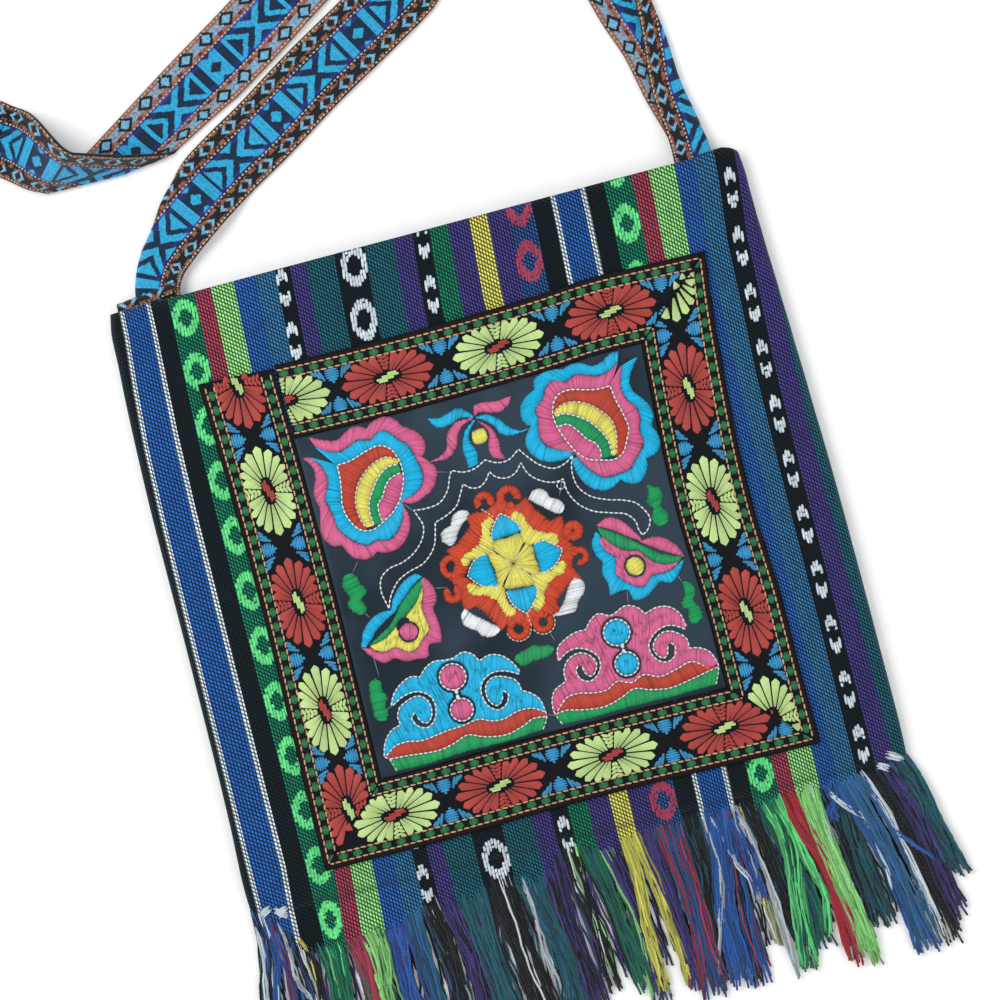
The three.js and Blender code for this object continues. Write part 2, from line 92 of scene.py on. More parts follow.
# The light is an even white room with one large soft lamp from the upper left and a smaller one opposite, so
# the bag's shadow on the table is faint.
world = bpy.data.worlds.new("white_room")
world.use_nodes = True
room = world.node_tree.nodes["Background"]
room.inputs["Color"].default_value = (1, 1, 1, 1)
room.inputs["Strength"].default_value = 0.55
bpy.context.scene.world = world
bpy.context.scene.view_settings.view_transform = "Standard"
for name, place, size, watts in [
    ("key_lamp", (-0.75, 0.55, 1.1), 0.8, 10),
    ("fill_lamp", (0.9, -0.5, 1.2), 1.2, 4.5),
]:
    lamp = set_out(name, bpy.data.lights.new(name, "AREA"))
    lamp.data.size = size
    lamp.data.energy = watts
    lamp.location = place
    aim = camera.location.copy()
    aim.z = 0
    lamp.rotation_euler = (lamp.location - aim).to_track_quat("Z", "Y").to_euler()

# The pouch is one wrapped piece of hand-loomed cotton, striped lengthways, folded at both sides, open at
# the mouth and sewn shut at the bottom. It lies on its back, and its front is a little padded.
POUCH_SECTIONS = [  # height up the bag, left fold, right fold, radius of the folds, height of the middle
    (-158, -150.0, 150.6, 1.7, 3.4),
    (-137, -149.6, 150.4, 2.2, 4.8),
    (-126, -150.3, 150.7, 3.0, 8.8),
    (-95, -149.5, 150.4, 3.6, 12.4),
    (-20, -149.3, 149.2, 3.8, 14.0),
    (60, -149.8, 146.2, 3.8, 13.0),
    (118, -148.3, 143.6, 3.7, 11.2),
    (136, -147.4, 143.0, 3.7, 10.7),
    (142, -146.2, 142.2, 3.6, 10.4),
]
SEAM_Y, MOUTH_Y = -137, 142
CLOTH_WALL = 1.6
CROWN_POWER = 5
SLACK_DEPTH = 0.32
MOUTH_SLOPE, SLOPE_FROM = 0.017, 71
WARP_WIDTH, WARP_LENGTH = 1.22, 1.95
STRIPES = [  # where each stripe starts across the front, in the order that it was warped
    (-146.0, "black"), (-141.8, "white"), (-139.7, "navy"), (-129.4, "white"), (-127.3, "black"),
    (-119.4, "emerald"), (-107.0, "red"), (-99.7, "lime"), (-89.7, "blue"), (-80.0, "sky"), (-71.3, "black"),
    (-64.4, "purple"), (-57.0, "teal"), (-43.8, "black"), (-30.0, "teal"), (-16.6, "purple"),
    (-8.0, "black"), (-0.3, "emerald"), (8.75, "purple"), (18.6, "yellow"), (26.9, "purple"),
    (36.2, "steel"), (47.5, "black"), (56.0, "white"), (58.3, "navy"), (69.9, "white"), (72.2, "black"),
    (80.6, "emerald"), (93.0, "red"), (100.6, "lime"), (112.0, "blue"), (121.0, "sky"), (130.0, "black"),
    (139.0, "purple"), (148.0, "teal"),
]
STRIPE_REPEAT = 200.5
ONE_REPEAT = slice(1, 23)
FRONT_LEFT, FRONT_RIGHT = -146, 150
BACK_SEAM = 285
FOLD_WARPS = (132, 170)
FOLD_STEP, FLAT_STEP = 1.8, 4.5
STRAY_WARPS = (-140, -128, -119, -107, -68, -4, 40, 85, 132)
STRAY = [  # height up the bag, and how far each of those warps has strayed to the left there
    (-158, 5.1, 4.6, 2.0, 5.2, 2.8, 1.9, 1.3, 1.7, 3.3),
    (-136, 5.0, 3.8, 1.8, 3.0, 2.6, 1.8, 1.2, 1.6, 3.5),
    (-117, 5.0, 2.2, 1.3, 1.3, 2.4, 1.7, 1.1, 1.5, 3.8),
    (-69, 4.8, 2.3, 1.4, 1.5, 2.2, 1.5, 1.0, 1.4, 4.1),
    (0, 4.8, 2.4, 1.7, 1.8, 1.8, 1.2, 1.0, 1.4, 4.6),
    (46, 4.6, 2.4, 1.8, 1.9, 1.5, 1.0, 0.9, 1.6, 4.4),
    (78, 4.0, 2.1, 1.7, 1.9, 1.2, 0.8, 0.8, 1.6, 3.1),
    (105, 2.4, 1.2, 1.0, 1.0, 0.5, 2.2, 1.8, 1.0, 2.3),
    (130, 0.4, 0.2, 0.2, 0.2, -0.6, 0.3, 0.4, 0.2, -0.6),
    (142, 0.0, 0.0, 0.0, 0.0, -1.3, -0.9, 0.0, 0.0, -1.5),
]


def dye_card(**codes):
    """Colours by name, from their codes."""
    return {name: srgb(code) for name, code in codes.items()}


CLOTH = dye_card(
    white="E0EEF6", navy="2866BA", black="0D151C", emerald="14805F", red="B1445B", lime="9CEB8C",
    blue="2C69BD", sky="387AAA", purple="4B408E", teal="216676", yellow="E6E36A", steel="2F5896",
    neon="70F494", rose="B83C58", scarlet="B42834",
)


def ease(rows, places):
    """The columns of a table, eased through its rows by a cubic curve. The first column is the place."""
    rows = np.asarray(rows, float)
    places = np.asarray(places, float)
    knots, values = rows[:, 0], rows[:, 1:]
    slopes = np.gradient(values, knots, axis=0)
    leg = np.clip(np.searchsorted(knots, places) - 1, 0, len(knots) - 2)
    span = (knots[leg + 1] - knots[leg])[..., None]
    part = np.clip((places - knots[leg])[..., None] / span, 0, 1)
    near = values[leg] * (1 + 2 * part) + slopes[leg] * span * part
    far = values[leg + 1] * (3 - 2 * part) - slopes[leg + 1] * span * (1 - part)
    return near * (1 - part) ** 2 + far * part ** 2


def smooth(part):
    """A soft step from 0 to 1."""
    part = np.clip(part, 0, 1)
    return part * part * (3 - 2 * part)


def front_height(x, y):
    """The height of the pouch's front, crowned between its side folds, with the cloth's slack in it."""
    left, right, fold, height = np.moveaxis(ease(POUCH_SECTIONS, y), -1, 0)
    reach = (right - left) / 2 - fold
    across = np.minimum(1, np.abs(x - (left + right) / 2) / reach)
    slack = np.sin(x / 23 + y / 61) * np.sin(y / 34 - x / 90) + 0.6 * np.sin(x / 11 - y / 47 + 2)
    middle = 1 - across ** CROWN_POWER
    return 2 * fold + (height - 2 * fold) * middle + SLACK_DEPTH * slack * middle


def stray(q, y):
    """How far the warp at q has strayed to the left at a height."""
    spans = np.array(STRAY).T
    amounts = [np.interp(y, spans[0], column) for column in spans[1:]]
    moved = amounts[0] + 0 * q
    for near, far, before, after in zip(STRAY_WARPS, STRAY_WARPS[1:], amounts, amounts[1:]):
        moved = moved + (after - before) * np.clip((q - near) / (far - near), 0, 1)
    return moved


def wrapped(q, y):
    """The place on the pouch of the warp at q across the front, or on round the folds to the back."""
    left, right, fold, _ = np.moveaxis(ease(POUCH_SECTIONS, y), -1, 0)
    across = q - stray(q, y)
    side = np.sign(across)
    flat = np.where(across > 0, right - fold, -left - fold)
    over = np.abs(across) - flat
    turn = np.clip(over / fold, 0, np.pi)
    behind = np.maximum(over - np.pi * fold, 0)
    x = np.where(over < 0, across, side * (flat + fold * np.sin(turn) - behind))
    z = np.where(over < 0, front_height(across, y), fold * (1 + np.cos(turn)))
    lift = np.maximum(0, y / SLOPE_FROM - 1) ** 2
    return np.stack([x, y + MOUTH_SLOPE * x * lift, z], -1)


def warp_colour(q):
    """The colour name of the stripe at q."""
    while q < FRONT_LEFT:
        q += STRIPE_REPEAT
    while q > FRONT_RIGHT:
        q -= STRIPE_REPEAT
    return [name for start, name in STRIPES if start <= q][-1]


def woven_grid(name, points):
    """A sheet through rows of points in millimetres."""
    rows, columns = points.shape[:2]
    shape = bmesh.new()
    bmesh.ops.create_grid(shape, x_segments=columns - 1, y_segments=rows - 1, size=1)
    for vert, place in zip(shape.verts, points.reshape(-1, 3) * MM):
        vert.co = place
    for face in shape.faces:
        face.smooth = True
    mesh = bpy.data.meshes.new(name)
    shape.to_mesh(mesh)
    shape.free()
    return set_out(name, mesh)


def chart(mesh, across, along):
    """The sheet's own UV map, in millimetres of cloth."""
    corners = np.empty(len(mesh.loops), int)
    mesh.loops.foreach_get("vertex_index", corners)
    layer = mesh.uv_layers.new(name="weave")
    layer.data.foreach_set("uv", np.column_stack([across, along])[corners].ravel())


def dye(mesh, name, colours):
    """A colour for each face of a sheet of four-sided faces."""
    layer = mesh.color_attributes.new(name, "FLOAT_COLOR", "CORNER")
    full = np.column_stack([colours, np.ones(len(colours))])
    layer.data.foreach_set("color", np.repeat(full, 4, axis=0).ravel())


def dye_stripes(mesh, warps, rows):
    """The stripes' colours, on a sheet of rows of warps."""
    stripe = [CLOTH[warp_colour(q)] for q in (warps[1:] + warps[:-1]) / 2]
    dye(mesh, "warp_colour", np.tile(stripe, (rows - 1, 1)))


def thicken(piece, thickness, offset=-1):
    """Gives a sheet its thickness, below it or on both sides."""
    wall = piece.modifiers.new("thickness", "SOLIDIFY")
    wall.thickness = thickness * MM
    wall.offset = offset
    return wall


def seat(piece, slot, *nodes):
    """Sets a piece on the bag and hides the CAD nodes that it stands for. Its slot is not used."""
    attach(piece, "root")
    if nodes:
        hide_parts(*nodes)


def node(tree, kind, *sources, **settings):
    """A shader node with its settings, fed in turn by values or by other nodes. Gives its first output."""
    made = tree.nodes.new("ShaderNode" + kind)
    for name, value in settings.items():
        setattr(made, name, value)
    for socket, source in zip(made.inputs, sources):
        if isinstance(source, bpy.types.NodeSocket):
            tree.links.new(source, socket)
        elif source is not None:
            socket.default_value = source
    return made.outputs[0]


def maths(tree, operation, *sources):
    """One sum or comparison in a finish."""
    return node(tree, "Math", *sources, operation=operation)


def dyed(tree, name, strength):
    """The piece's own colours, each scaled by a strength from 0 up."""
    colour = node(tree, "Attribute", attribute_name=name)
    return node(tree, "VectorMath", colour, None, None, strength, operation="SCALE")


def raise_by(tree, shader, height, distance, strength=1.0):
    """Bumps the surface by a height pattern, over a distance in millimetres."""
    bump = tree.nodes.new("ShaderNodeBump")
    bump.inputs["Strength"].default_value = strength
    bump.inputs["Distance"].default_value = distance * MM
    tree.links.new(height, bump.inputs["Height"])
    tree.links.new(bump.outputs["Normal"], shader.inputs["Normal"])


def grain(tree, scale):
    """Soft random spots that stay in place on the piece, a number of them to the metre."""
    place = tree.nodes.new("ShaderNodeTexCoord").outputs["Object"]
    return node(tree, "TexNoise", place, None, scale)


def charted_finish(name, code, roughness, looks):
    """A plain finish with its node tree, and the places across and along the piece for it to work from."""
    material, shader = plain_finish(name, code, roughness, looks)
    tree = material.node_tree
    split = tree.nodes.new("ShaderNodeSeparateXYZ")
    tree.links.new(node(tree, "UVMap", uv_map="weave"), split.inputs[0])
    return material, shader, tree, split.outputs[0], split.outputs[1]


def loom_finish():
    """Plain-woven cotton: slanting floats of warp in brick order, with the dark weft between them, also
    painted darker as shade.
    """
    looks = {"Sheen Weight": 0.15, "Specular IOR Level": 0.2, "Specular Tint": (0.6, 0.85, 1, 1),
             "Sheen Tint": (0.7, 0.9, 1, 1)}
    material, shader, tree, across, along = charted_finish("striped_cotton", "2450A8", 0.92, looks)
    u = maths(tree, "DIVIDE", across, WARP_WIDTH)
    row = maths(tree, "FLOOR", u)
    fx = maths(tree, "SUBTRACT", maths(tree, "FRACT", u), 0.5)
    v = maths(tree, "DIVIDE", along, WARP_LENGTH)
    brick = maths(tree, "MULTIPLY_ADD", row, 0.5, v)
    slant = maths(tree, "MULTIPLY_ADD", fx, 0.4, brick)
    fy = maths(tree, "SUBTRACT", maths(tree, "FRACT", slant), 0.5)
    wide = maths(tree, "POWER", maths(tree, "MULTIPLY", fx, 2.05), 2.0)
    tall = maths(tree, "POWER", maths(tree, "MULTIPLY", fy, 2.1), 2.0)
    away = maths(tree, "ADD", wide, tall)
    hump = node(tree, "MapRange", away, 1.02, 0.32, 0.0, 1.0, interpolation_type="SMOOTHSTEP")
    place = node(tree, "CombineXYZ", row, maths(tree, "FLOOR", slant), 0.0)
    spin = node(tree, "TexWhiteNoise", place)
    cloud = grain(tree, 60.0)
    # Painted light and shade: each float is coloured lighter along its crown and darker to its edges, down
    # to a tenth of its dye in the gaps, as the weft and its shade.
    lit = maths(tree, "MULTIPLY_ADD", hump, 1.02, 0.09)
    lit_by_float = maths(tree, "MULTIPLY", lit, maths(tree, "MULTIPLY_ADD", spin, 0.3, 0.85))
    lit_with_grain = maths(tree, "MULTIPLY", lit_by_float, maths(tree, "MULTIPLY_ADD", cloud, 0.3, 0.85))
    tree.links.new(dyed(tree, "warp_colour", lit_with_grain), shader.inputs["Base Color"])
    raise_by(tree, shader, hump, 0.45)
    return material


def pouch_columns():
    """The warps where the sheet is divided: every stripe's edge, with closer ones round the folds."""
    starts = [start for start, _ in STRIPES]
    edges = [start + turn * STRIPE_REPEAT for start in starts[ONE_REPEAT] for turn in (-2, -1, 0, 1, 2)]
    edges = [edge for edge in edges if not FRONT_LEFT <= edge <= FRONT_RIGHT] + starts
    edges = sorted(edge for edge in edges if abs(edge) < BACK_SEAM)
    columns = []
    for near, far in zip(edges, edges[1:]):
        step = FOLD_STEP if FOLD_WARPS[0] < abs(near + far) / 2 < FOLD_WARPS[1] else FLAT_STEP
        columns.extend(np.linspace(near, far, math.ceil((far - near) / step) + 1)[:-1])
    return np.array([*columns, edges[-1]])


MOUTH_CORNER = [  # warp round the mouth's right corner, and how far the mouth's edge rises there
    (124, 0), (130, 1.3), (134, 1.5), (137, 0.6), (140, -0.9), (142.5, -2.2), (145, -2.6), (149, -1.2),
    (156, 0),
]
CORNER_FOOT = 125


def pouch_points(columns, rows):
    """Rows of points from the seam behind the bag, round its front and back to that seam."""
    q, y = np.meshgrid(columns, rows)
    y = y + np.interp(q, *np.array(MOUTH_CORNER).T) * smooth((y - CORNER_FOOT) / (MOUTH_Y - CORNER_FOOT))
    points = wrapped(q, y)
    middle = (wrapped(np.zeros(len(rows)), rows) * (0, 1, 0))[:, None, :]
    return np.concatenate([middle, points, middle], axis=1)


columns = pouch_columns()
rows = np.linspace(SEAM_Y, MOUTH_Y, 72)
pouch = woven_grid("pouch_cloth", pouch_points(columns, rows))
outer = np.array([columns[0] - 8, *columns, columns[-1] + 8])
chart(pouch.data, np.tile(outer, len(rows)), np.repeat(rows, len(outer)))
dye_stripes(pouch.data, outer, len(rows))
shape = bmesh.new()
shape.from_mesh(pouch.data)
bmesh.ops.remove_doubles(shape, verts=shape.verts, dist=1e-6)
shape.to_mesh(pouch.data)
shape.free()
cotton = loom_finish()
pouch.data.materials.append(cotton)
thicken(pouch, CLOTH_WALL)
seat(pouch, "cloth", "pouch")

# The cloth's rings and ladders are extra warps, thicker than the ground, that float on its face for up to
# five millimetres at a time. They run in seven of the stripes, at one repeat all down the cloth.
FLOAT_PITCH = 1.3
FLOAT_LENGTH = 5.0
SHORTEST_FLOAT = 0.8
FLOAT_PARTS = np.array([0, 0.22, 0.78, 1])
FLOAT_HALF = np.array([0.34, 0.56, 0.56, 0.34])
FLOAT_RIDGE = np.array([0.1, 0.48, 0.48, 0.1])
# The floats' ends are painted darker, as shade where they dip into the cloth.
FLOAT_PAINTED_SHADE = np.array([0.72, 1, 1, 0.72])
UNDER_TRIM = (-109, 112)
TRIM_TOP, TRIM_FOOT = 98.4, -119.4
RING_COLUMNS = (np.arange(9) - 4) * FLOAT_PITCH
REPEATS = range(-12, 2)
RING_STRIPES = [  # warp at a ring's middle, its height, repeat, colour, half size, and half size of its eye
    (-113.3, 131.2, 25.12, "neon", (6.2, 8.9), (3.1, 4.4)),
    (86.8, 122.2, 25.0, "neon", (6.0, 8.8), (3.0, 4.2)),
    (-35.9, 134.6, 24.65, "white", (6.1, 9.6), (3.7, 4.9)),
    (41.4, 116.9, 24.6, "rose", (6.2, 9.4), (3.1, 4.4)),
]
LADDER_STRIPES = [  # warp at the ladder's middle, heights of the two blocks in one repeat, and the repeat
    (-68.9, (138.2, 127.9), 24.8),
    (-3.6, (118.6, 108.3), 24.7),
    (135.2, (131.1, 120.8), 25.2),
]
LADDER_BLOCK = [(-1.85, -3.4, 1.6), (-0.62, -1.7, 3.4), (0.62, -1.8, 3.4), (1.85, -3.2, 1.4)]
HEADING_EDGE = [
    (-150, -139), (-139, -140), (-134, -146), (-128, -154), (-118, -160.5), (-108, -159.5), (-98, -158.2),
    (-88, -156.2), (-78, -155.5), (-70, -150.5), (-62, -152), (-50, -152.8), (-38, -147.5), (-26, -151.5),
    (-15, -150), (-6, -143), (5, -145.5), (13, -148), (22, -145.5), (30, -143.7), (41, -144.5), (52, -142.5),
    (65, -144.2), (77, -143.7), (87, -145.2), (96, -144), (106, -143.5), (117, -144.6), (125, -144.2),
    (134, -143), (142, -142.4), (150, -141.5),
]


def heading_edge(q):
    """The height where the cloth below the bottom seam comes apart into the fringe, at the warp q."""
    return ease(HEADING_EDGE, np.clip(q, -150, 150))[..., 0]


def unit(vectors):
    """Vectors made 1 long."""
    return vectors / (np.linalg.norm(vectors, axis=-1, keepdims=True) + 1e-9)


def dyed_mesh(name, points, faces, colours):
    """A smooth mesh of threads, from points in millimetres, with a colour for each of them."""
    mesh = bpy.data.meshes.new(name)
    mesh.from_pydata((points.reshape(-1, 3) * MM).tolist(), [], faces.tolist())
    mesh.shade_smooth()
    layer = mesh.color_attributes.new("thread_colour", "FLOAT_COLOR", "POINT")
    layer.data.foreach_set("color", np.column_stack([colours, np.ones(len(colours))]).ravel())
    return mesh


def thread_mesh(name, lines, across, ups, colours):
    """One mesh of many arched threads, each a line of points with its half widths and its ridge over it."""
    threads, stations = lines.shape[:2]
    points = np.stack([lines - across, lines + ups, lines + across], axis=2)
    index = np.arange(threads * stations * 3).reshape(threads, stations, 3)
    near, far = index[:, :-1], index[:, 1:]
    faces = np.stack([near[..., :-1], far[..., :-1], far[..., 1:], near[..., 1:]], axis=-1).reshape(-1, 4)
    mesh = dyed_mesh(name, points, faces, np.repeat(colours.reshape(-1, 3), 3, axis=0))
    steps = np.linalg.norm(np.diff(lines, axis=1), axis=2)
    reach = np.concatenate([np.zeros((threads, 1)), np.cumsum(steps, axis=1)], axis=1)
    width = 2 * np.linalg.norm(across, axis=2, keepdims=True) * np.array([-0.5, 0, 0.5])
    chart(mesh, width.ravel(), np.repeat(reach, 3))
    return mesh


def thread_piece(name, threads, finish):
    """An object of threads, from a list of their lines, half widths, ridges and colours."""
    lines, across, ups, colours = (np.concatenate(part) for part in zip(*threads))
    piece = set_out(name, thread_mesh(name, lines, across, ups, colours))
    piece.data.materials.append(finish)
    return piece


def ribs(tree, place, pitch):
    """A wave that comes back at a pitch in millimetres."""
    return maths(tree, "SINE", maths(tree, "MULTIPLY", place, 2 * math.pi / pitch))


def thread_finish(name, roughness, sheen, ply):
    """Spun thread in the stitches' own colours, with its fibres lying along it."""
    looks = {"Sheen Weight": sheen, "Specular IOR Level": 0.35}
    material, shader, tree, across, along = charted_finish(name, "DC5C94", roughness, looks)
    fibre = ribs(tree, maths(tree, "MULTIPLY_ADD", along, 0.45, across), ply)
    fleck = grain(tree, 900.0)
    # The colour is painted a little lighter on each fibre's crest and darker between, as their light and
    # shade, with random flecks.
    lit = maths(tree, "MULTIPLY_ADD", fibre, 0.07, maths(tree, "MULTIPLY_ADD", fleck, 0.4, 0.78))
    tree.links.new(dyed(tree, "thread_colour", lit), shader.inputs["Base Color"])
    raise_by(tree, shader, fibre, 0.05, 0.6)
    return material


chance = np.random.default_rng(5)


def warp_floats(runs, colour):
    """Floats along the warp, from runs of (warp, low end, high end), each cut shorter in brick order."""
    cut = []
    for q, low, high in runs:
        drop = FLOAT_LENGTH / 2 * (round(q / FLOAT_PITCH) % 2)
        marks = np.arange(-60, 60) * FLOAT_LENGTH + drop
        ends = [low, *marks[(marks > low + 0.9) & (marks < high - 0.9)], high]
        cut.extend((q, a, b) for a, b in zip(ends, ends[1:]))
    q, low, high = np.array(cut).T
    low = low + chance.uniform(-0.45, 0.35, len(low))
    high = high + chance.uniform(-0.35, 0.45, len(high))
    y = low[:, None] + (high - low)[:, None] * FLOAT_PARTS
    warp = q[:, None] + chance.uniform(-0.2, 0.4, len(q))[:, None] * (FLOAT_PARTS - 0.5)
    lines = wrapped(warp, y)
    side = unit(wrapped(warp + 0.2, y) - lines)
    out = unit(np.cross(side, wrapped(warp, y + 0.2) - lines))
    tint = chance.uniform(0.78, 1.06, (len(q), 1, 1)) * FLOAT_PAINTED_SHADE[:, None]
    return lines + out * 0.05, -side * FLOAT_HALF[:, None], out * FLOAT_RIDGE[:, None], colour * tint


def ring_runs(q, y, size, eye):
    """The floats of one ring, a column at a time, left open at its eye."""
    for place in RING_COLUMNS:
        top = size[1] * (1 - (place / (size[0] + 0.6)) ** 2) ** 0.85
        if abs(place) < eye[0]:
            clear = eye[1] * (1 - (place / eye[0]) ** 2)
            yield q + place, y + clear, y + top
            yield q + place, y - top, y - clear
        else:
            yield q + place, y - top, y + top


def ladder_runs(q, heights):
    """The floats of one pair of blocks, notched towards each other."""
    for side, y in zip((1, -1), heights):
        for place, low, high in LADDER_BLOCK:
            yield q + place, *sorted((y + side * low, y + side * high))


def in_sight(q, low, high):
    """The part of a float that the framed panel, the mouth and the fringe leave to be seen."""
    low = max(low, float(heading_edge(q)) + 0.6)
    high = min(high, MOUTH_Y - 0.4)
    if UNDER_TRIM[0] < q < UNDER_TRIM[1] and low + high > 0:
        low = max(low, TRIM_TOP)
    elif UNDER_TRIM[0] < q < UNDER_TRIM[1]:
        high = min(high, TRIM_FOOT)
    return q, low, high


def shown(runs):
    """The floats in sight, without scraps or any on the seam behind."""
    runs = [in_sight(*run) for run in runs]
    return [(q, low, high) for q, low, high in runs
            if abs(q) < BACK_SEAM - 5 and high - low > SHORTEST_FLOAT]


pattern = []
for turn in (-1, 0, 1):
    for warp, y, repeat, name, size, eye in RING_STRIPES:
        q = warp + turn * STRIPE_REPEAT
        runs = shown(run for step in REPEATS for run in ring_runs(q, y + step * repeat, size, eye))
        if runs and not (turn and abs(q) < FRONT_RIGHT):
            pattern.append(warp_floats(runs, CLOTH[name]))
for q, heights, repeat in LADDER_STRIPES:
    blocks = [[height + step * repeat for height in heights] for step in REPEATS]
    runs = shown(run for pair in blocks for run in ladder_runs(q, pair))
    pattern.append(warp_floats(runs, CLOTH["white"]))
floats = thread_piece("pattern_warps", pattern, thread_finish("thick_cotton", 0.85, 0.2, 0.5))
seat(floats, "cloth")

# The strap is one length of jacquard webbing, 32 mm wide, woven in blue on black with a diamond border. Both
# ends are sewn inside the mouth. It lies loose on the table, on edge in its loops and folded over once.
STRAP_HALF = 16
STRAP_THICK = 1.3
FLAP_TURN = 1.2 * math.pi
ROUTE_OUT = [  # place, roll (0 is face up, 180 reverse up), lift, fold of one edge, and width folded over
    (-129, 118, 0, 1.95, 180, 10), (-129.4, 134, 0, 1.95, 180, 10), (-129, 146, 0, 1.9, 180, 10),
    (-122.8, 158.8, 0, 0.6, 180, 8.8), (-114, 167, 0, 0.2, 178, 6.4), (-104.9, 173.9, 0, 0, 150, 2.6),
    (-93, 182.6, 0, 0, 60, 1.5), (-81.9, 190.2, 0, 0, 0, 1.5), (-60.4, 203, 0, 0, 0, 1.5),
    (-34.7, 219.6, 0, 0, 0, 1.5), (-8, 235.3, 0, 0, 0, 1.5), (18, 251, 12, 0, 0, 1.5),
    (31.5, 260.4, 60, 0, 0, 1.5), (39.5, 273.4, 84, 0, 0, 1.5), (34.5, 285.4, 92, 0, 0, 1.5),
    (19.5, 289.8, 108, 0, 0, 1.5),
    (-2, 281.5, 158, 0, 0, 1.5), (-27, 266, 180, 0, 0, 1.5), (-52.8, 248.8, 180, 0, 0, 1.5),
    (-85.8, 228.0, 180, 0, 0, 1.5),
]
CREASE = np.array([-131.0, 198.5])
CREASE_RADIUS = 1.3
CREASE_REACH = 54
CREASE_TILT = 66
TO_CREASE = np.array([-0.837, -0.547])
CORNER = [  # place across, the web's edge there, and how far it rounds off
    (-126, 198, 0), (-116, 198, 1.5), (-109, 198, 2.2), (-100.4, 198, 4.2), (-91, 204.2, 3.1),
    (-82, 210.0, 2.0), (-68, 219.2, 0),
]
CORNER_DEPTH = 16
ROUTE_BACK = [
    (-176.2, 228.0, 0, 0.3, 0, 5), (-188.6, 239.4, 34, 0, 0, 5), (-195.4, 256.0, 70, 0, 0, 5),
    (-195.2, 279.8, 84, 0, 0, 5), (-177.6, 304.8, 84, 0, 0, 5), (-140.6, 321.6, 76, 0, 0, 5),
    (-90.3, 330.4, 72, 0, 0, 5),
    (-30, 334, 76, 0, 0, 5), (30, 329, 84, 0, 0, 5), (76, 309, 94, 0, 0, 5), (97, 277, 130, 0, 0, 4),
    (105, 247, 172, 0, 90, 3), (113, 217, 180, 0, 176, 5.5), (118.8, 201, 180, 0, 180, 9),
    (124, 178, 180, 0.4, 180, 12.5), (128.4, 163, 180, 1.2, 180, 14), (132, 149, 180, 2.4, 180, 15.4),
    (132.6, 138, 180, 2.4, 180, 15.4), (132.6, 122, 180, 2.4, 180, 15.4),
]
WEB_STEP = 1.1
WEB_ACROSS = np.linspace(STRAP_HALF, -STRAP_HALF, 35)


def reach_along(line):
    """How far along a line each of its points is."""
    return np.concatenate([[0], np.cumsum(np.linalg.norm(np.diff(line, axis=0), axis=1))])


def web_run(route, side):
    """Rows of points of the web along one run of its route, with its left or right edge (-1 or 1) folded."""
    route = np.array(route, float)
    legs = reach_along(route[:, :2])
    along = np.linspace(0, legs[-1], round(legs[-1] / WEB_STEP))
    x, y, roll, lift, fold, flap = ease(np.column_stack([legs, route]), along).T[..., None]
    ahead = unit(np.gradient(np.column_stack([x, y]), axis=0))
    left = np.column_stack([-ahead[:, 1], ahead[:, 0], np.zeros(len(along))])[:, None]
    turn = np.radians(roll)
    bend = np.radians(np.maximum(fold, 0)) + 1e-6
    inward = np.clip(-STRAP_HALF + flap + FLAP_TURN - side * WEB_ACROSS, 0, None)
    angle = bend * np.minimum(inward / FLAP_TURN, 1)
    past = np.maximum(inward - FLAP_TURN, 0)
    radius = FLAP_TURN / bend
    across = side * (side * WEB_ACROSS + inward - radius * np.sin(angle) - past * np.cos(bend))
    above = -radius * (1 - np.cos(angle)) - past * np.sin(bend)
    up = np.array([0, 0, 1.0])
    to_left = np.cos(turn)[..., None] * left + np.sin(turn)[..., None] * up
    to_face = np.cos(turn)[..., None] * up - np.sin(turn)[..., None] * left
    hang = across * np.sin(turn) + above * np.cos(turn)
    rise = np.maximum(lift, 0) - hang.min(axis=1, keepdims=True) + STRAP_THICK / 2
    centre = np.concatenate([x, y, rise], axis=1)[:, None]
    return centre + across[..., None] * to_left + above[..., None] * to_face


def web_crease():
    """Rows of points where the web turns over a slanting crease, leans up and then lies on itself."""
    along = np.arange(-CREASE_REACH + WEB_STEP, CREASE_REACH, WEB_STEP)[:, None]
    x = CREASE[0] + along * TO_CREASE[0] + WEB_ACROSS * TO_CREASE[1]
    short = along * TO_CREASE[1] - WEB_ACROSS * TO_CREASE[0]
    start = CREASE_RADIUS * math.pi / 2
    angle = np.clip((start - short) / CREASE_RADIUS, 0, np.pi)
    past = np.maximum(-start - short, 0)
    tilt = np.radians(CREASE_TILT) * (1 - smooth((along - 24) / (CREASE_REACH - 26)))
    edge = start - CREASE_RADIUS * np.sin(angle)
    y = CREASE[1] + np.where(short > start, short, edge + past * np.cos(tilt))
    settle = smooth(past / 34) * smooth((along + 8) / CREASE_REACH)
    z = STRAP_THICK / 2 + CREASE_RADIUS * (1 - np.cos(angle)) * (1 - settle) + past * np.sin(tilt)
    return np.stack([x, y, z], axis=-1)


class Measure:
    """A number that a finish works out at each point, for sums and comparisons written as usual."""

    def __init__(self, tree, socket):
        self.tree = tree
        self.socket = socket

    def by(self, operation, *others):
        """The measure after one more step, with numbers or other measures."""
        others = [other.socket if isinstance(other, Measure) else other for other in others]
        return Measure(self.tree, maths(self.tree, operation, self.socket, *others))

    def __add__(self, other):
        return self.by("ADD", other)

    def __sub__(self, other):
        return self.by("SUBTRACT", other)

    def __mul__(self, other):
        return self.by("MULTIPLY", other)

    def __mod__(self, other):
        return self.by("FLOORED_MODULO", other)

    def __lt__(self, other):
        return self.by("LESS_THAN", other)

    def __gt__(self, other):
        return self.by("GREATER_THAN", other)

    def __and__(self, other):
        return self.by("MULTIPLY", other)

    def __or__(self, other):
        return self.by("MAXIMUM", other)

    def __abs__(self):
        return self.by("ABSOLUTE")

    def off_repeat(self, repeat):
        """The distance to the nearest whole number of repeats."""
        return abs((self + repeat / 2) % repeat - repeat / 2)


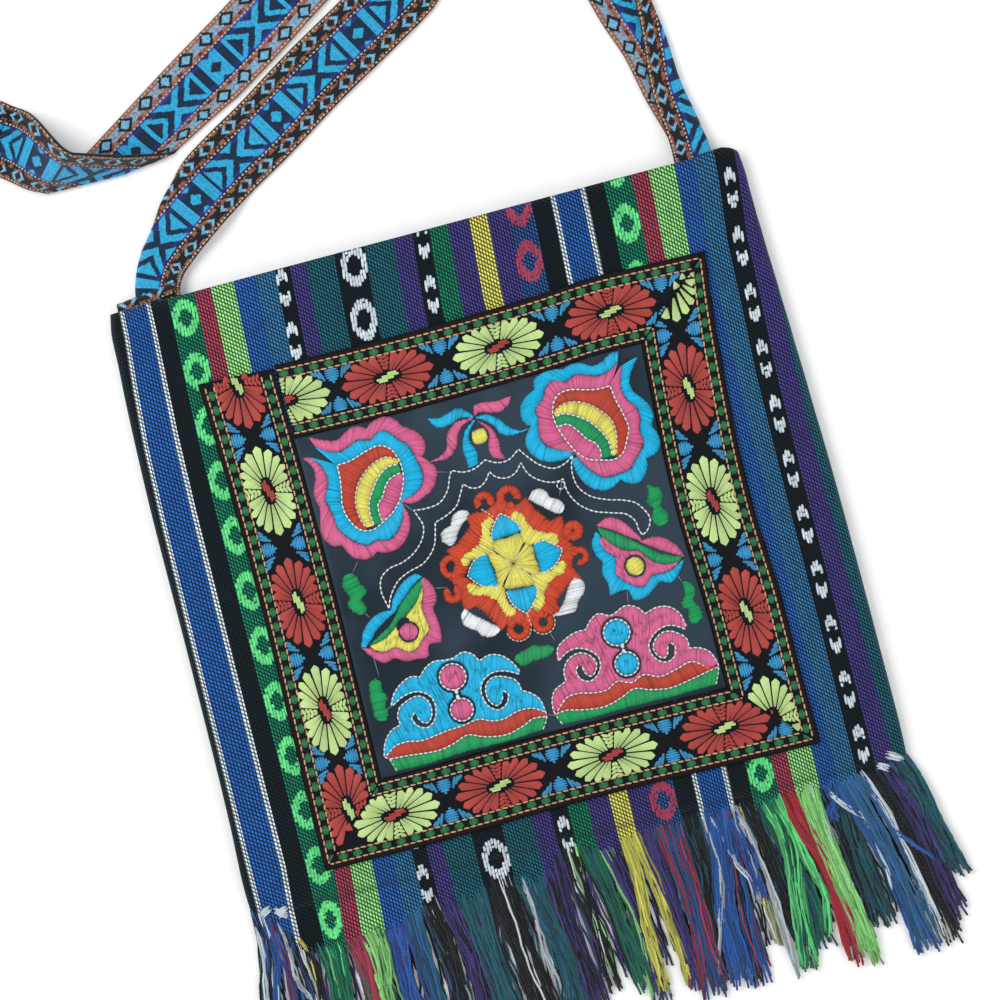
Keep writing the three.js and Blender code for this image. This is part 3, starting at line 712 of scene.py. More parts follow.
WEB_REPEAT = 52.0
WEB_PHASE = 2.2
EYE_PITCH = WEB_REPEAT / 4
EYE_SHIFT = 5.7
EYE_ROW, EYE_LENGTH = 11.6, 4.6
WEFT_PICK, WARP_END = 0.7, 0.55
BAND_EDGE, BORDER_EDGE = 6.1, 7.4
DOT_ROWS, DOT_HALF = (7.7, 15.0), 0.36
WEB = dye_card(
    blue="2FB4E8", violet="3C56B4", ink="0B2A48", indigo="20307C", dusk="1B2150", black="15181D",
    steel="7DBFE2", brown="A0644E", rose="B07F76", maroon="6E2A30", cream="D2C4A4",
)


def web_bright(along, out):
    """Whether the middle band of the web shows its blue weft: chevrons, arrows, bars and lozenges."""
    near = along.off_repeat(WEB_REPEAT)
    far = abs(near - WEB_REPEAT / 2)
    chevron = (near > out * 1.1 + 1.2) & (near < out * 1.1 + 5.6)
    wedge = (out > 3.2) & (near < (out - 3) * 1.2) & (out < 6.6)
    arrow = (out < (near - 8.8) * 0.9) & (near < 14.4)
    bar = (near > 16.4) & (near < 21.0)
    lozenge = far * (1 / 2.9) + out * (1 / 2.7) < 1
    tooth = (out > 4.6) & (far < out - 4.3)
    return chevron | wedge | arrow | bar | lozenge | tooth


def woven_in(tree, ground, layers):
    """A ground colour with other colours over it, each where its measure is 1."""
    colour = (*WEB[ground], 1)
    for where, name in layers:
        blend = tree.nodes.new("ShaderNodeMix")
        blend.data_type = "RGBA"
        tree.links.new(where.socket, blend.inputs[0])
        if isinstance(colour, tuple):
            blend.inputs[6].default_value = colour
        else:
            tree.links.new(colour, blend.inputs[6])
        blend.inputs[7].default_value = (*WEB[name], 1)
        colour = blend.outputs[2]
    return colour


def web_finish(name, reverse):
    """Jacquard web, woven in narrow ribs. On its reverse the blue and the ground change places."""
    looks = {"Sheen Weight": 0.15, "Specular IOR Level": 0.3}
    material, shader, tree, *places = charted_finish(name, "2FB4E8", 0.7, looks)
    across, reach = (Measure(tree, place) for place in places)
    along = reach.by("SNAP", WEFT_PICK) + WEB_PHASE
    out = abs(across).by("SNAP", WARP_END)
    bright = web_bright(along, out)
    edge = out > BAND_EDGE
    border = out > BORDER_EDGE
    step = (along + EYE_SHIFT).off_repeat(EYE_PITCH)
    off = abs(out - EYE_ROW)
    knot = (step > EYE_PITCH / 2 - 1.2) & (abs(off - 2.9) < 0.8)
    fleck = Measure(tree, grain(tree, 800.0)) > 0.54
    if reverse:
        ground = "blue"
        ring = step * (1 / EYE_LENGTH) + off * (1 / 4.0)
        layers = [
            (bright, "ink"), (bright & (out > 4.8), "indigo"), (edge, "violet"), (edge & bright, "dusk"),
            (border, "brown"), (border & (off < 1.8), "steel"), (border & fleck, "rose"),
            (border & knot & (out < 10.5), "maroon"), (border & (ring < 1.0), "black"),
            (border & (ring < 0.58), "steel"),
        ]
    else:
        ground = "ink"
        ring = step * (1 / EYE_LENGTH) + off * (1 / 3.4)
        rim = border & (ring < 1) & (ring > 0.55)
        layers = [
            (out > 4.8, "indigo"), (bright, "blue"), (edge, "dusk"), (edge & bright, "violet"),
            (border, "black"), (rim, "steel"), (rim & (step < 1.3), "brown"), (border & knot, "brown"),
            (border & fleck & (abs(off - 3.0) < 0.9), "brown"),
        ]
    inner, outer = (abs(abs(across) - row) < DOT_HALF for row in DOT_ROWS)
    dots = (inner | outer) & (reach % 2.1 < 1.1)
    layers.append((dots, "cream"))
    rib = (across * (2 * math.pi / 0.8)).by("SINE")
    pick = (reach * (2 * math.pi / 2.6)).by("SINE")
    weave = rib + pick * 0.35
    # The colour is painted lighter on the ribs and picks and darker between, as their light and shade, over
    # a random grain.
    lit = weave * 0.2 + Measure(tree, grain(tree, 900.0)) * 1.1 + 0.4
    colour = woven_in(tree, ground, layers)
    shaded = node(tree, "VectorMath", colour, None, None, lit.socket, operation="SCALE")
    tree.links.new(shaded, shader.inputs["Base Color"])
    raise_by(tree, shader, (weave + dots).socket, 0.12)
    return material


out_run = web_run(ROUTE_OUT, -1)
web = np.concatenate([out_run, web_crease(), web_run(ROUTE_BACK, 1)])
turned = web[len(out_run) // 2:]
corner = np.array(CORNER).T
foot, rounded = (np.interp(turned[..., 0], corner[0], amounts) for amounts in corner[1:])
turned[..., 1] += rounded * (1 - smooth((turned[..., 1] - foot) / CORNER_DEPTH))
reach = reach_along(web[:, len(WEB_ACROSS) // 2])
strap = woven_grid("strap_web", web)
chart(strap.data, np.tile(WEB_ACROSS, len(reach)), np.repeat(reach, len(WEB_ACROSS)))
web_face = web_finish("web_face", False)
strap.data.materials.append(web_face)
strap.data.materials.append(web_finish("web_reverse", True))
both = thicken(strap, STRAP_THICK, 0)
both.material_offset = 1
seat(strap, "strap_web", "strap")

# At the left of the mouth the end of the same webbing is turned back and rolled over the mouth, so that its
# border shows there. It is sewn down with the strap.
ROLL_FROM, ROLL_TO = np.array([-142.2, 140.6]), np.array([-115.0, 144.2])
ROLL_RADIUS = 2.7
ROLL_REST = 4.4
ROLL_LENGTH = 28
turn = np.radians(np.linspace(-45, 150, 10))
part = np.linspace(0, 1, 30)[:, None]
core = ROLL_FROM + part * (ROLL_TO - ROLL_FROM)
x = np.broadcast_to(core[:, :1], (len(part), len(turn)))
y = core[:, 1:] + ROLL_RADIUS * np.cos(turn)
z = ROLL_REST + ROLL_RADIUS * np.sin(turn) + 0.5 * np.sin(part * 9)
end_roll = woven_grid("strap_end_roll", np.stack([x, y, z], axis=-1))
border = np.linspace(STRAP_HALF / 2, STRAP_HALF, len(turn))
chart(end_roll.data, np.tile(border, len(part)), np.repeat(part.ravel() * ROLL_LENGTH, len(turn)))
end_roll.data.materials.append(web_face)
thicken(end_roll, STRAP_THICK)
seat(end_roll, "strap_web")

# The satin panel is a square of slate-black satin, laid on the pouch's front under the ribbon. The stitching
# draws it in a little, so it has small soft wrinkles.
TRIM_GAP = 0.35
TRIM_THICK = 1.0
PANEL = (-78.6, 80.4, -89.4, 68.0)
SLATE = "2A3744"
WRINKLE_DEPTH = 0.11
PULL_LEFT, PULL_FOOT, PULL_SPAN = -95, -105, 190
FRAME_SIDES = [  # height, and how far the frame's left and right sides are pulled to the right there
    (-123, -0.4, -0.4), (-88, 0.0, -1.3), (-55, 0.3, -1.8), (-9, 0.6, -4.2), (45, -0.4, -2.4),
    (80, -1.8, 0.2), (101, -2.9, 2.6),
]
FRAME_ENDS = [  # place across, and how far the frame's foot and top are pulled up there
    (-112, 0.0, -0.9), (-60, 0.6, -2.5), (0, 2.6, -2.0), (40, 2.9, -0.2), (60, 2.7, 1.4), (90, 2.4, 1.3),
    (116, 2.2, 1.0),
]


def trim_height(x, y):
    """The top of the satin or of a ribbon on the pouch's front."""
    return front_height(x, y) + TRIM_GAP + TRIM_THICK


def bowed(x, y):
    """A place on the framed panel, pulled a little out of square by hand sewing."""
    left_pull, right_pull = np.moveaxis(ease(FRAME_SIDES, np.clip(y, -123, 101)), -1, 0)
    foot_pull, top_pull = np.moveaxis(ease(FRAME_ENDS, np.clip(x, -112, 116)), -1, 0)
    east = np.clip((x - PULL_LEFT) / PULL_SPAN, 0, 1)
    north = np.clip((y - PULL_FOOT) / PULL_SPAN, 0, 1)
    return x + left_pull + (right_pull - left_pull) * east, y + foot_pull + (top_pull - foot_pull) * north


def wrinkle(x, y):
    """The small wrinkles of the satin between the motifs."""
    pull = np.sin(x / 3.1 + 1.7 * np.sin(y / 9)) * np.sin(y / 7.3 + x / 15)
    fine = np.sin(x / 1.9 - y / 5.1) * np.sin(y / 4.7 + 1) * 0.4
    return WRINKLE_DEPTH * (pull + fine)


def satin_finish():
    """Slate-black satin: long floats across the piece, glossy, with faint ribs."""
    looks = {"Specular IOR Level": 0.36, "Specular Tint": (0.55, 0.8, 1, 1)}
    material, shader, tree, across, along = charted_finish("slate_satin", SLATE, 0.42, looks)
    weave = maths(tree, "MULTIPLY_ADD", ribs(tree, across, 0.9), 0.4, ribs(tree, along, 0.5))
    # The base colour is painted lighter and darker in broad soft patches, as painted sheen and reflection
    # over the satin's wrinkles.
    sheen = node(tree, "MapRange", grain(tree, 22.0), 0.38, 0.64, 0.35, 1.1)
    ground = node(tree, "VectorMath", None, None, None, sheen, operation="SCALE")
    ground.node.inputs[0].default_value = srgb(SLATE)
    tree.links.new(ground, shader.inputs["Base Color"])
    shine = node(tree, "MapRange", grain(tree, 45.0), 0.3, 0.7, 0.34, 0.52)
    tree.links.new(shine, shader.inputs["Roughness"])
    raise_by(tree, shader, weave, 0.02, 0.5)
    return material


left, right, bottom, top = PANEL
x, y = np.meshgrid(np.linspace(left, right, 120), np.linspace(bottom, top, 120))
x, y = bowed(x, y)
panel = woven_grid("satin", np.stack([x, y, trim_height(x, y) + wrinkle(x, y)], axis=-1))
chart(panel.data, x.ravel(), y.ravel())
panel.data.materials.append(satin_finish())
thicken(panel, TRIM_THICK)
seat(panel, "satin", "satin_panel")

# The ribbon is a 33 mm jacquard, sewn round the satin in four lengths: mitred at three corners, and at the
# top left its two ends lie edge to edge. Its ground is black, with a rust edge.
RIBBON_WIDTH = 33
RIBBON_LAP = 0.45
HALF_GAP = 0.2
RUST_ROWS = [(0.1, 0.4), (31.4, 0.3)]  # middle and half width of each
# The black ground reaches 1.3 mm out past the ribbon's outer edge: partly its black selvage, partly painted
# shadow where the ribbon stands over the cloth.
GROUND_ROWS = np.array([-1.3, -0.3, 0.5, 1.6, *np.linspace(4, 29, 9), 31.2, 31.7, 32.2])
RIBBON = dye_card(black="12161B", rust="291511", red="B2403A", lime="C4E092", blue="349ACF", green="187040",
                  tan="D8AA80")


class Ribbon:
    """One length of the ribbon, with its line along the outer edge of the frame and its two cut ends."""

    def __init__(self, name, corner, ahead, inward, ends):
        self.name = name
        self.corner = np.array(corner, float)
        self.ahead = np.array(ahead, float)
        self.inward = np.array(inward, float)
        self.ends = ends

    def place(self, along, across):
        """Points of the frame at a distance along the outer edge and in from it."""
        flat = self.corner + along[..., None] * self.ahead + across[..., None] * self.inward
        return bowed(flat[..., 0], flat[..., 1])

    def limits(self, across):
        """Where the ribbon starts and stops along its edge, at a distance in from it."""
        (start, start_slope), (stop, stop_slope) = self.ends
        return start + start_slope * across, stop - stop_slope * across


west, south = (edge + RIBBON_LAP - RIBBON_WIDTH for edge in (left, bottom))
east, north = (edge - RIBBON_LAP + RIBBON_WIDTH for edge in (right, top))
wide, high = east - west, north - south
RIBBONS = [
    Ribbon("top", (west, north), (1, 0), (0, -1), ((RIBBON_WIDTH + HALF_GAP, 0), (wide - HALF_GAP, 1))),
    Ribbon("right", (east, north), (0, -1), (-1, 0), ((HALF_GAP, 1), (high - HALF_GAP, 1))),
    Ribbon("bottom", (east, south), (-1, 0), (0, 1), ((HALF_GAP, 1), (wide - HALF_GAP, 1))),
    Ribbon("left", (west, south), (0, 1), (1, 0), ((HALF_GAP, 1), (high, 0))),
]


def ribbon_finish():
    """The ribbon's ground: a fine black rib, with a thread of rust along both edges."""
    looks = {"Specular IOR Level": 0.15}
    material, shader, tree, across, along = charted_finish("ribbon_ground", "12161B", 0.75, looks)
    weave = maths(tree, "MULTIPLY", ribs(tree, across, 0.7), ribs(tree, along, 1.1))
    # The colour is painted lighter and darker with the ribs, as their light and shade, over a random grain.
    lit = maths(tree, "MULTIPLY_ADD", weave, 0.3, maths(tree, "MULTIPLY_ADD", grain(tree, 300.0), 0.6, 0.7))
    tree.links.new(dyed(tree, "ground_colour", lit), shader.inputs["Base Color"])
    raise_by(tree, shader, weave, 0.1)
    return material


ribbon_ground = ribbon_finish()
for ribbon in RIBBONS:
    start, stop = ribbon.limits(GROUND_ROWS)
    along = start + np.linspace(0, 1, 70)[:, None] * (stop - start)
    across = np.broadcast_to(GROUND_ROWS, along.shape)
    x, y = ribbon.place(along, across)
    ground = woven_grid(ribbon.name + "_ribbon", np.stack([x, y, trim_height(x, y)], axis=-1))
    chart(ground.data, along.ravel(), across.ravel())
    middle = (across[1:, 1:] + across[:-1, :-1]).ravel() / 2
    rusty = np.any([abs(middle - row) < half for row, half in RUST_ROWS], axis=0)
    dye(ground.data, "ground_colour", np.where(rusty[:, None], RIBBON["rust"], RIBBON["black"]))
    ground.data.materials.append(ribbon_ground)
    thicken(ground, TRIM_THICK)
    seat(ground, "ribbon", "ribbon_" + ribbon.name)
    length = (ribbon.ends[1][0] - ribbon.ends[0][0]) * MM
    area = length * RIBBON_WIDTH * MM
    area -= 0.5 * (RIBBON_WIDTH * MM) ** 2 * (ribbon.ends[0][1] + ribbon.ends[1][1])

# The ribbon's figures are floats of coloured silk on its black ground: rows of tan dashes and green checks
# along both borders, and red and lime flowers in turn with pairs of blue leaves between them.
FLOWERS = {  # each ribbon's flowers: places along it, and the colour of the first
    "top": ([33.0, 79.4, 129.4, 180.4, 227.5], "lime"),
    "right": ([6.0, 56.5, 107.8, 159.0, 209.3], "lime"),
    "bottom": ([-13.4, 37.8, 89.2, 140.8, 189.3], "lime"),
    "left": ([23.0, 68.6, 118.0, 169.5, 219.0], "red"),
}
FIGURE_AXIS = 15.4
FIGURE_RISE = 0.45
TAN_ROWS, TAN_PITCH = (1.3, 5.2, 26.4, 30.4), 3.1
TAN_HALF = np.array([0.2, 0.34, 0.38, 0.34, 0.2])
CHECK_ROWS, CHECK_PITCH = (3.25, 28.4), 6.65
CHECK_SHIFTS = np.arange(-1.68, 1.7, 0.56)
PETAL_TIPS = [(20.6, 0), (18.2, 4.9), (14.6, 8.3), (10.2, 10.0), (5.6, 9.9), (0, 10.6)]
PETAL_ROOTS = [(6.4, 0), (6.0, 1.4), (4.6, 2.2), (3.1, 2.5), (1.8, 2.6), (0, 2.6)]
PETAL_PARTS = np.array([0, 0.3, 0.64, 0.88, 1])
PETAL_SHAPE = np.array([0.9, 1.04, 1.05, 0.98, 0.1])
PETAL_RISE = np.array([0.2, 0.55, 0.6, 0.4, 0.05])
PETAL_SHADE = np.array([0.74, 0.86, 1.0, 1.06, 1.0])
CUP_ROWS = [(3.6, 1.2), (5.3, 2.0), (7.0, 2.6), (8.7, 2.8)]  # distance from the axis, and reach of the wings
CUP_HALF = np.array([0.5, 0.66, 0.66, 0.56, 0.1])
CORE_ROWS = [(-1.5, 2.0, 2.2), (-0.5, 3.8, 1.2), (0.5, 3.8, -1.2), (1.5, 2.0, -2.2)]
LEAF_BARS = [(4.6, 4.9), (6.2, 3.5), (7.8, 2.0)]  # distance along from the leaf's middle, and height
LEAF_FOOT = 9.7
LEAF_ROWS = [(3.6, 0.6), (4.7, 1.9), (5.8, 2.8), (6.9, 3.1), (8.0, 3.1), (9.1, 2.7)]
LEAF_HALF = np.array([0.3, 0.5, 0.54, 0.5, 0.3])


def left_of(ahead):
    """Level vectors, 1 long, to the left of others."""
    return unit(np.stack([-ahead[..., 1], ahead[..., 0], np.zeros(ahead.shape[:-1])], axis=-1))


def ridges(lines, rise):
    """The ridges of threads, straight up from their lines."""
    ups = np.zeros_like(lines)
    ups[..., 2] = rise
    return ups


def figure_threads(ribbon, starts, stops, half, rise, colour, parts=np.linspace(0, 1, 5)):
    """Straight threads on a ribbon, from places along and across it, cut off where the ribbon ends."""
    fine = np.linspace(0, 1, 41)[:, None]
    inside = []
    for start, stop in zip(starts, stops):
        places = start + (stop - start) * fine
        low, high = ribbon.limits(places[:, 1])
        inside.append((places[:, 0] > low + 0.25) & (places[:, 0] < high - 0.25))
    inside = np.array(inside)
    first = fine[inside.argmax(axis=1)]
    last = fine[len(fine) - 1 - inside[:, ::-1].argmax(axis=1)]
    kept = inside.any(axis=1) & (last - first > 0.2).ravel()
    reach = stops - starts
    starts, stops = (starts + reach * first)[kept], (starts + reach * last)[kept]
    half = np.broadcast_to(half, (len(kept), len(parts)))[kept]
    path = starts[:, None] + (stops - starts)[:, None] * parts[None, :, None]
    x, y = ribbon.place(path[..., 0], path[..., 1])
    lines = np.stack([x, y, trim_height(x, y) + 0.04], axis=-1)
    side = left_of(np.gradient(lines, axis=1))
    tint = chance.uniform(0.85, 1.08, (len(lines), 1, 1)) * np.ones((1, lines.shape[1], 1))
    return lines, side * half[..., None], ridges(lines, rise), colour * tint


def petals(middle, axis):
    """One flower's petals, from its core out to a long lozenge: starts, stops and half widths."""
    starts, stops = (
        np.concatenate([one, one[-2::-1] * (-1, 1), one[1:] * (-1, -1), one[-2:0:-1] * (1, -1)])
        for one in (np.array(PETAL_ROOTS), np.array(PETAL_TIPS)))
    path = starts[:, None] + (stops - starts)[:, None] * PETAL_PARTS[None, :, None]
    room = (np.roll(path, -1, axis=0) - np.roll(path, 1, axis=0)) / 2
    ahead = unit(stops - starts)
    free = np.abs(ahead[:, None, 0] * room[..., 1] - ahead[:, None, 1] * room[..., 0]) / 2
    half = np.maximum(free - 0.24, 0.2) * PETAL_SHAPE
    kept = stops[:, 0] != 0
    return starts[kept] + (middle, axis), stops[kept] + (middle, axis), half[kept]


def dash_ends(at, row, reach, tall):
    """The two ends of threads at places along a ribbon, by how far they reach along it and across it."""
    return [np.column_stack([at + side * reach, np.full(len(at), row + side * tall)]) for side in (-1, 1)]


figures = []
for ribbon in RIBBONS:
    first, last = ribbon.ends[0][0], ribbon.ends[1][0]
    for row in TAN_ROWS:
        dashes = dash_ends(np.arange(first + 1.5, last - 1, TAN_PITCH), row, 1.25, 0.1)
        figures.append(figure_threads(ribbon, *dashes, TAN_HALF, 0.4, RIBBON["tan"]))
    for row in CHECK_ROWS:
        at = np.arange(first + 3, last - 2, CHECK_PITCH)
        for shift in CHECK_SHIFTS:
            checks = dash_ends(at + shift, row, 0, 1.6 - 0.42 * abs(shift))
            shade = RIBBON["green"] * (1.3 - 0.28 * abs(shift))
            figures.append(figure_threads(ribbon, *checks, 0.33, 0.26, shade))
    places, kind = FLOWERS[ribbon.name]
    for count, middle in enumerate(places):
        names = ("red", "lime") if (count % 2 == 0) == (kind == "red") else ("lime", "red")
        starts, stops, half = petals(middle, FIGURE_AXIS)
        shade = RIBBON[names[0]] * PETAL_SHADE[:, None]
        figures.append(figure_threads(ribbon, starts, stops, half, PETAL_RISE, shade, PETAL_PARTS))
        for side in (-1, 1):
            for row, reach in CUP_ROWS:
                fold = np.array([(middle, FIGURE_AXIS + side * row)] * 2)
                tip = FIGURE_AXIS + side * (row + 1.3)
                wings = np.array([(middle - reach, tip), (middle + reach, tip)])
                figures.append(figure_threads(ribbon, fold, wings, CUP_HALF, 0.4, RIBBON[names[0]]))
        for row, reach, aside in CORE_ROWS:
            core = dash_ends(np.array([middle + aside]), FIGURE_AXIS + row, reach, 0)
            figures.append(figure_threads(ribbon, *core, 0.48, FIGURE_RISE, RIBBON[names[1]]))
    for middle in [(a + b) / 2 for a, b in zip(places, places[1:])]:
        for side in (-1, 1):
            for row, reach in LEAF_ROWS:
                leaf = dash_ends(np.array([middle]), FIGURE_AXIS + side * row, reach, 0)
                figures.append(figure_threads(ribbon, *leaf, LEAF_HALF, FIGURE_RISE, RIBBON["blue"]))
            foot, head = [], []
            for at, tall in LEAF_BARS:
                for way in (-1, 1):
                    foot.append((middle + way * (at + 0.9), FIGURE_AXIS + side * LEAF_FOOT))
                    head.append((middle + way * (at - 0.9), FIGURE_AXIS + side * (LEAF_FOOT - tall)))
            bars = np.array([foot, head])
            shade = RIBBON["blue"] * 0.85
            figures.append(figure_threads(ribbon, *bars, LEAF_HALF + 0.1, FIGURE_RISE, shade))
silk = thread_finish("ribbon_silk", 0.5, 0.1, 0.55)
ribbon_figures = thread_piece("ribbon_figures", figures, silk)
seat(ribbon_figures, "ribbon")

# The embroidery is machine-worked rayon: bands of satin stitch laid side by side across each shape, over the
# slate satin, with outlines and seams of white running stitch on top.
STITCH_PITCH = 0.43
THREAD = dye_card(
    pink="E26899", blue="00BEF0", red="C6442F", orange="D64826", yellow="F0E86A", green="0CA05E",
    leaf="0EA45C", white="F4F8FA", cream="F3DCC4", grey="8FA0A8",
)
STITCH_HALF, STITCH_LIFT, STITCH_RIDGE = 0.31, 0.12, 0.16
STITCH_PARTS = np.array([0, 0.14, 0.5, 0.86, 1])
STITCH_PAD = np.array([0, 0.72, 1, 0.72, 0])
# Each satin stitch is painted to half brightness at its ends, as shade where it dives into the satin, and a
# little lighter along its crown, as painted highlight.
STITCH_PAINTED_LIGHT = np.array([0.5, 0.92, 1.07, 0.92, 0.5])
DASH_RIDGE = 0.28
DASH_LIFT = np.array([-0.3, 0.08, 0.12, 0.08, -0.3])
# Each running stitch is painted darker at its ends, as shade where it dives into the cloth.
DASH_PAINTED_SHADE = np.array([0.55, 1, 1, 1, 0.55])
DASH_SHAPE = np.array([0.4, 0.95, 1.05, 0.95, 0.4])
FILL_STEP = 0.2
DASH_STEP = 0.2


def flowing(points, count=None, step=STITCH_PITCH):
    """Evenly spaced points on a smooth line through the given ones. A point given twice is a corner."""
    points = np.array(points, float)
    gaps = np.linalg.norm(np.diff(points, axis=0), axis=1)
    runs = np.split(points, np.nonzero(gaps == 0)[0] + 1)
    line = []
    for run in runs:
        legs = np.concatenate([[0], np.cumsum(np.linalg.norm(np.diff(run, axis=0), axis=1) ** 0.7)])
        line.append(ease(np.column_stack([legs, run]), np.linspace(0, legs[-1], 12 * len(run))))
    line = np.concatenate(line)
    reach = reach_along(line)
    count = count or max(3, round(reach[-1] / step))
    at = np.linspace(0, reach[-1], count)
    return np.column_stack([np.interp(at, reach, line[:, 0]), np.interp(at, reach, line[:, 1])])


def stitches(start, stop, half_start, half_stop, colour, pad):
    """Satin stitches from start points to stop points, raised between their two ends."""
    flat = start[:, None] + (stop - start)[:, None] * STITCH_PARTS[:, None]
    side = left_of(stop - start)[:, None]
    half = half_start[:, None] + (half_stop - half_start)[:, None] * STITCH_PARTS
    top = trim_height(flat[..., 0], flat[..., 1]) + STITCH_LIFT + pad * STITCH_PAD
    lines = np.concatenate([flat, top[..., None]], axis=2)
    # Each stitch gets a random tone, partly its own and partly painted highlight and shade of single
    # threads, and one stitch in eleven is painted darker, as shade in the gaps between threads.
    tint = chance.uniform(0.76, 1.12, (len(start), 1, 1))
    tint *= np.where(chance.random((len(start), 1, 1)) < 0.09, 0.6, 1)
    shade = colour * tint * STITCH_PAINTED_LIGHT[:, None]
    return lines, side * half[..., None], ridges(lines, STITCH_RIDGE), shade


def satin_band(outer, inner, colour, pad=0.5, ragged=0.3):
    """A band of satin stitch between two lines, worked across from one to the other, with uneven ends."""
    count = max(len(flowing(outer)), len(flowing(inner)))
    start = flowing(outer, count)
    stop = flowing(inner, count)
    ahead = unit(stop - start)
    start = start - ahead * chance.uniform(-0.4, ragged - 0.25, (count, 1))
    stop = stop + ahead * chance.uniform(-0.4, ragged - 0.25, (count, 1))
    spread = [0.62 * np.linalg.norm(np.gradient(line, axis=0), axis=1) + 0.06 for line in (start, stop)]
    return stitches(start, stop, *spread, THREAD[colour], pad)


def is_inside(outline, points):
    """Whether points lie inside a closed outline, by counting the sides that a ray crosses."""
    ax, ay = outline.T[..., None]
    bx, by = np.roll(outline, -1, axis=0).T[..., None]
    x, y = points.T
    spans = (ay > y) != (by > y)
    crossing = (bx - ax) * (y - ay) / np.where(by == ay, 1e-9, by - ay) + ax
    return (spans & (x < crossing)).sum(axis=0) % 2 == 1


def satin_fill(outline, angle, colour, holes=(), longest=9.0, pad=0.5, ragged=0.25):
    """A shape filled with satin stitch in one direction, in rows of stitches no longer than a limit."""
    closing = [] if np.allclose(outline[0], outline[-1]) else [outline[0]]
    outline = flowing([*outline, *closing], step=0.8)
    turn = np.radians(angle)
    frame_axes = np.array([[np.cos(turn), np.sin(turn)], [-np.sin(turn), np.cos(turn)]])
    turned = outline @ frame_axes.T
    low, high = turned.min(axis=0), turned.max(axis=0)
    starts, stops = [], []
    samples = np.arange(low[0], high[0], FILL_STEP)
    for level in np.arange(low[1] + 0.3, high[1], STITCH_PITCH):
        row = np.column_stack([samples, np.full(len(samples), level)]) @ frame_axes
        full = is_inside(outline, row)
        for hole in holes:
            full &= ~is_inside(hole, row)
        edges = np.flatnonzero(np.diff(np.concatenate([[0], full.astype(int), [0]])))
        for first, past in zip(edges[::2], edges[1::2]):
            if past - first < 4:
                continue
            cuts = max(1, math.ceil((past - first) * FILL_STEP / longest))
            marks = np.linspace(first, past - 1, cuts + 1)
            marks[1:-1] += chance.uniform(-0.35, 0.35, cuts - 1) * (past - first) / cuts
            marks = marks.round().astype(int)
            for a, b in zip(marks, marks[1:]):
                starts.append(row[a])
                stops.append(row[b])
    ends = chance.uniform(-0.1, ragged, (2, len(starts), 1)) * frame_axes[0]
    start, stop = np.array(starts) - ends[0], np.array(stops) + ends[1]
    half = np.full(len(start), STITCH_HALF)
    return stitches(start, stop, half, half, THREAD[colour], pad)


def running_stitch(points, colour="white", half=0.33, dash=2.2, lift=0.42):
    """A line of stitches along a curve, each starting where the last one ends."""
    line = flowing(points, step=DASH_STEP)
    length = DASH_STEP * (len(line) - 1)
    count = max(1, round(length / dash))
    dash = length / count
    at = (np.arange(count)[:, None] * dash + np.linspace(0.08, dash - 0.08, 5)) / DASH_STEP
    index = np.arange(len(line))
    flat = np.stack([np.interp(at, index, line[:, 0]), np.interp(at, index, line[:, 1])], axis=-1)
    side = left_of(np.gradient(flat, axis=1))
    top = trim_height(flat[..., 0], flat[..., 1]) + lift + DASH_LIFT
    lines = np.concatenate([flat, top[..., None]], axis=2)
    tint = chance.uniform(0.88, 1.04, (count, 1, 1)) * DASH_PAINTED_SHADE[:, None]
    return lines, side * (half * DASH_SHAPE)[:, None], ridges(lines, DASH_RIDGE), THREAD[colour] * tint


def circle(x, y, radius, start=0.0, stop=360.0):
    """Points round a circle, from one angle to another."""
    angle = np.radians(np.linspace(start, stop, 36))
    return np.column_stack([x + radius * np.cos(angle), y + radius * np.sin(angle)])


def stitched(name, slot, threads):
    """One motif's stitches, seated in place of its solid."""
    seat(thread_piece(name + "_stitches", threads, rayon), slot, name)


rayon = thread_finish("rayon_thread", 0.42, 0.0, 0.28)

# Two peonies fill the panel's upper corners, worked in rayon on the satin: two lobed bands round a heart,
# and four bands in the heart, with running stitch along their edges. The lines round a peony are in two
# halves, from its tip in the corner over to its far side, and back below.
LEFT_RIM = [(-73, 65), (-66, 62), (-61, 61), (-57, 63.5), (-53, 65), (-49, 64), (-47, 62.5), (-47, 62.5),
            (-45, 64.5), (-40, 66), (-36, 65), (-33, 62), (-32, 60), (-32, 60), (-29, 58), (-25.5, 55),
            (-23.8, 50), (-25, 46), (-26.5, 44), (-26.5, 44), (-24, 41.5), (-22, 38.5), (-22.5, 34),
            (-25, 30), (-30, 27), (-36, 25.5), (-40.5, 27)]
LEFT_RIM_LOW = [(-40, 26), (-38.5, 22), (-39, 16), (-42, 11), (-46, 8), (-51, 7), (-56, 8.5), (-56, 8.5),
                (-58, 7), (-62, 6.5), (-66, 8), (-69, 12), (-70, 15), (-70, 15), (-74, 15.5), (-77, 18.5),
                (-78, 22), (-77, 28), (-76, 33), (-77, 37), (-77, 41), (-75, 46), (-74.5, 50), (-76, 54),
                (-78, 56.5)]
LEFT_BAND = [(-71, 60), (-67, 57), (-62, 55.5), (-57, 57), (-53, 58.5), (-47, 57.5), (-44, 59.5), (-40, 60),
             (-37, 57), (-35, 54.5), (-32, 52), (-30, 47), (-29, 43), (-28, 38), (-29.5, 33), (-33, 30),
             (-39, 28.5)]
LEFT_BAND_LOW = [(-40, 25), (-42, 19.5), (-46, 14.5), (-50, 12.5), (-55, 13.5), (-60, 12.5), (-64, 15),
                 (-68, 19), (-70.5, 23), (-71, 28), (-72, 33), (-73, 37), (-71, 41), (-69.5, 45), (-70, 49),
                 (-72.5, 54), (-75, 56)]
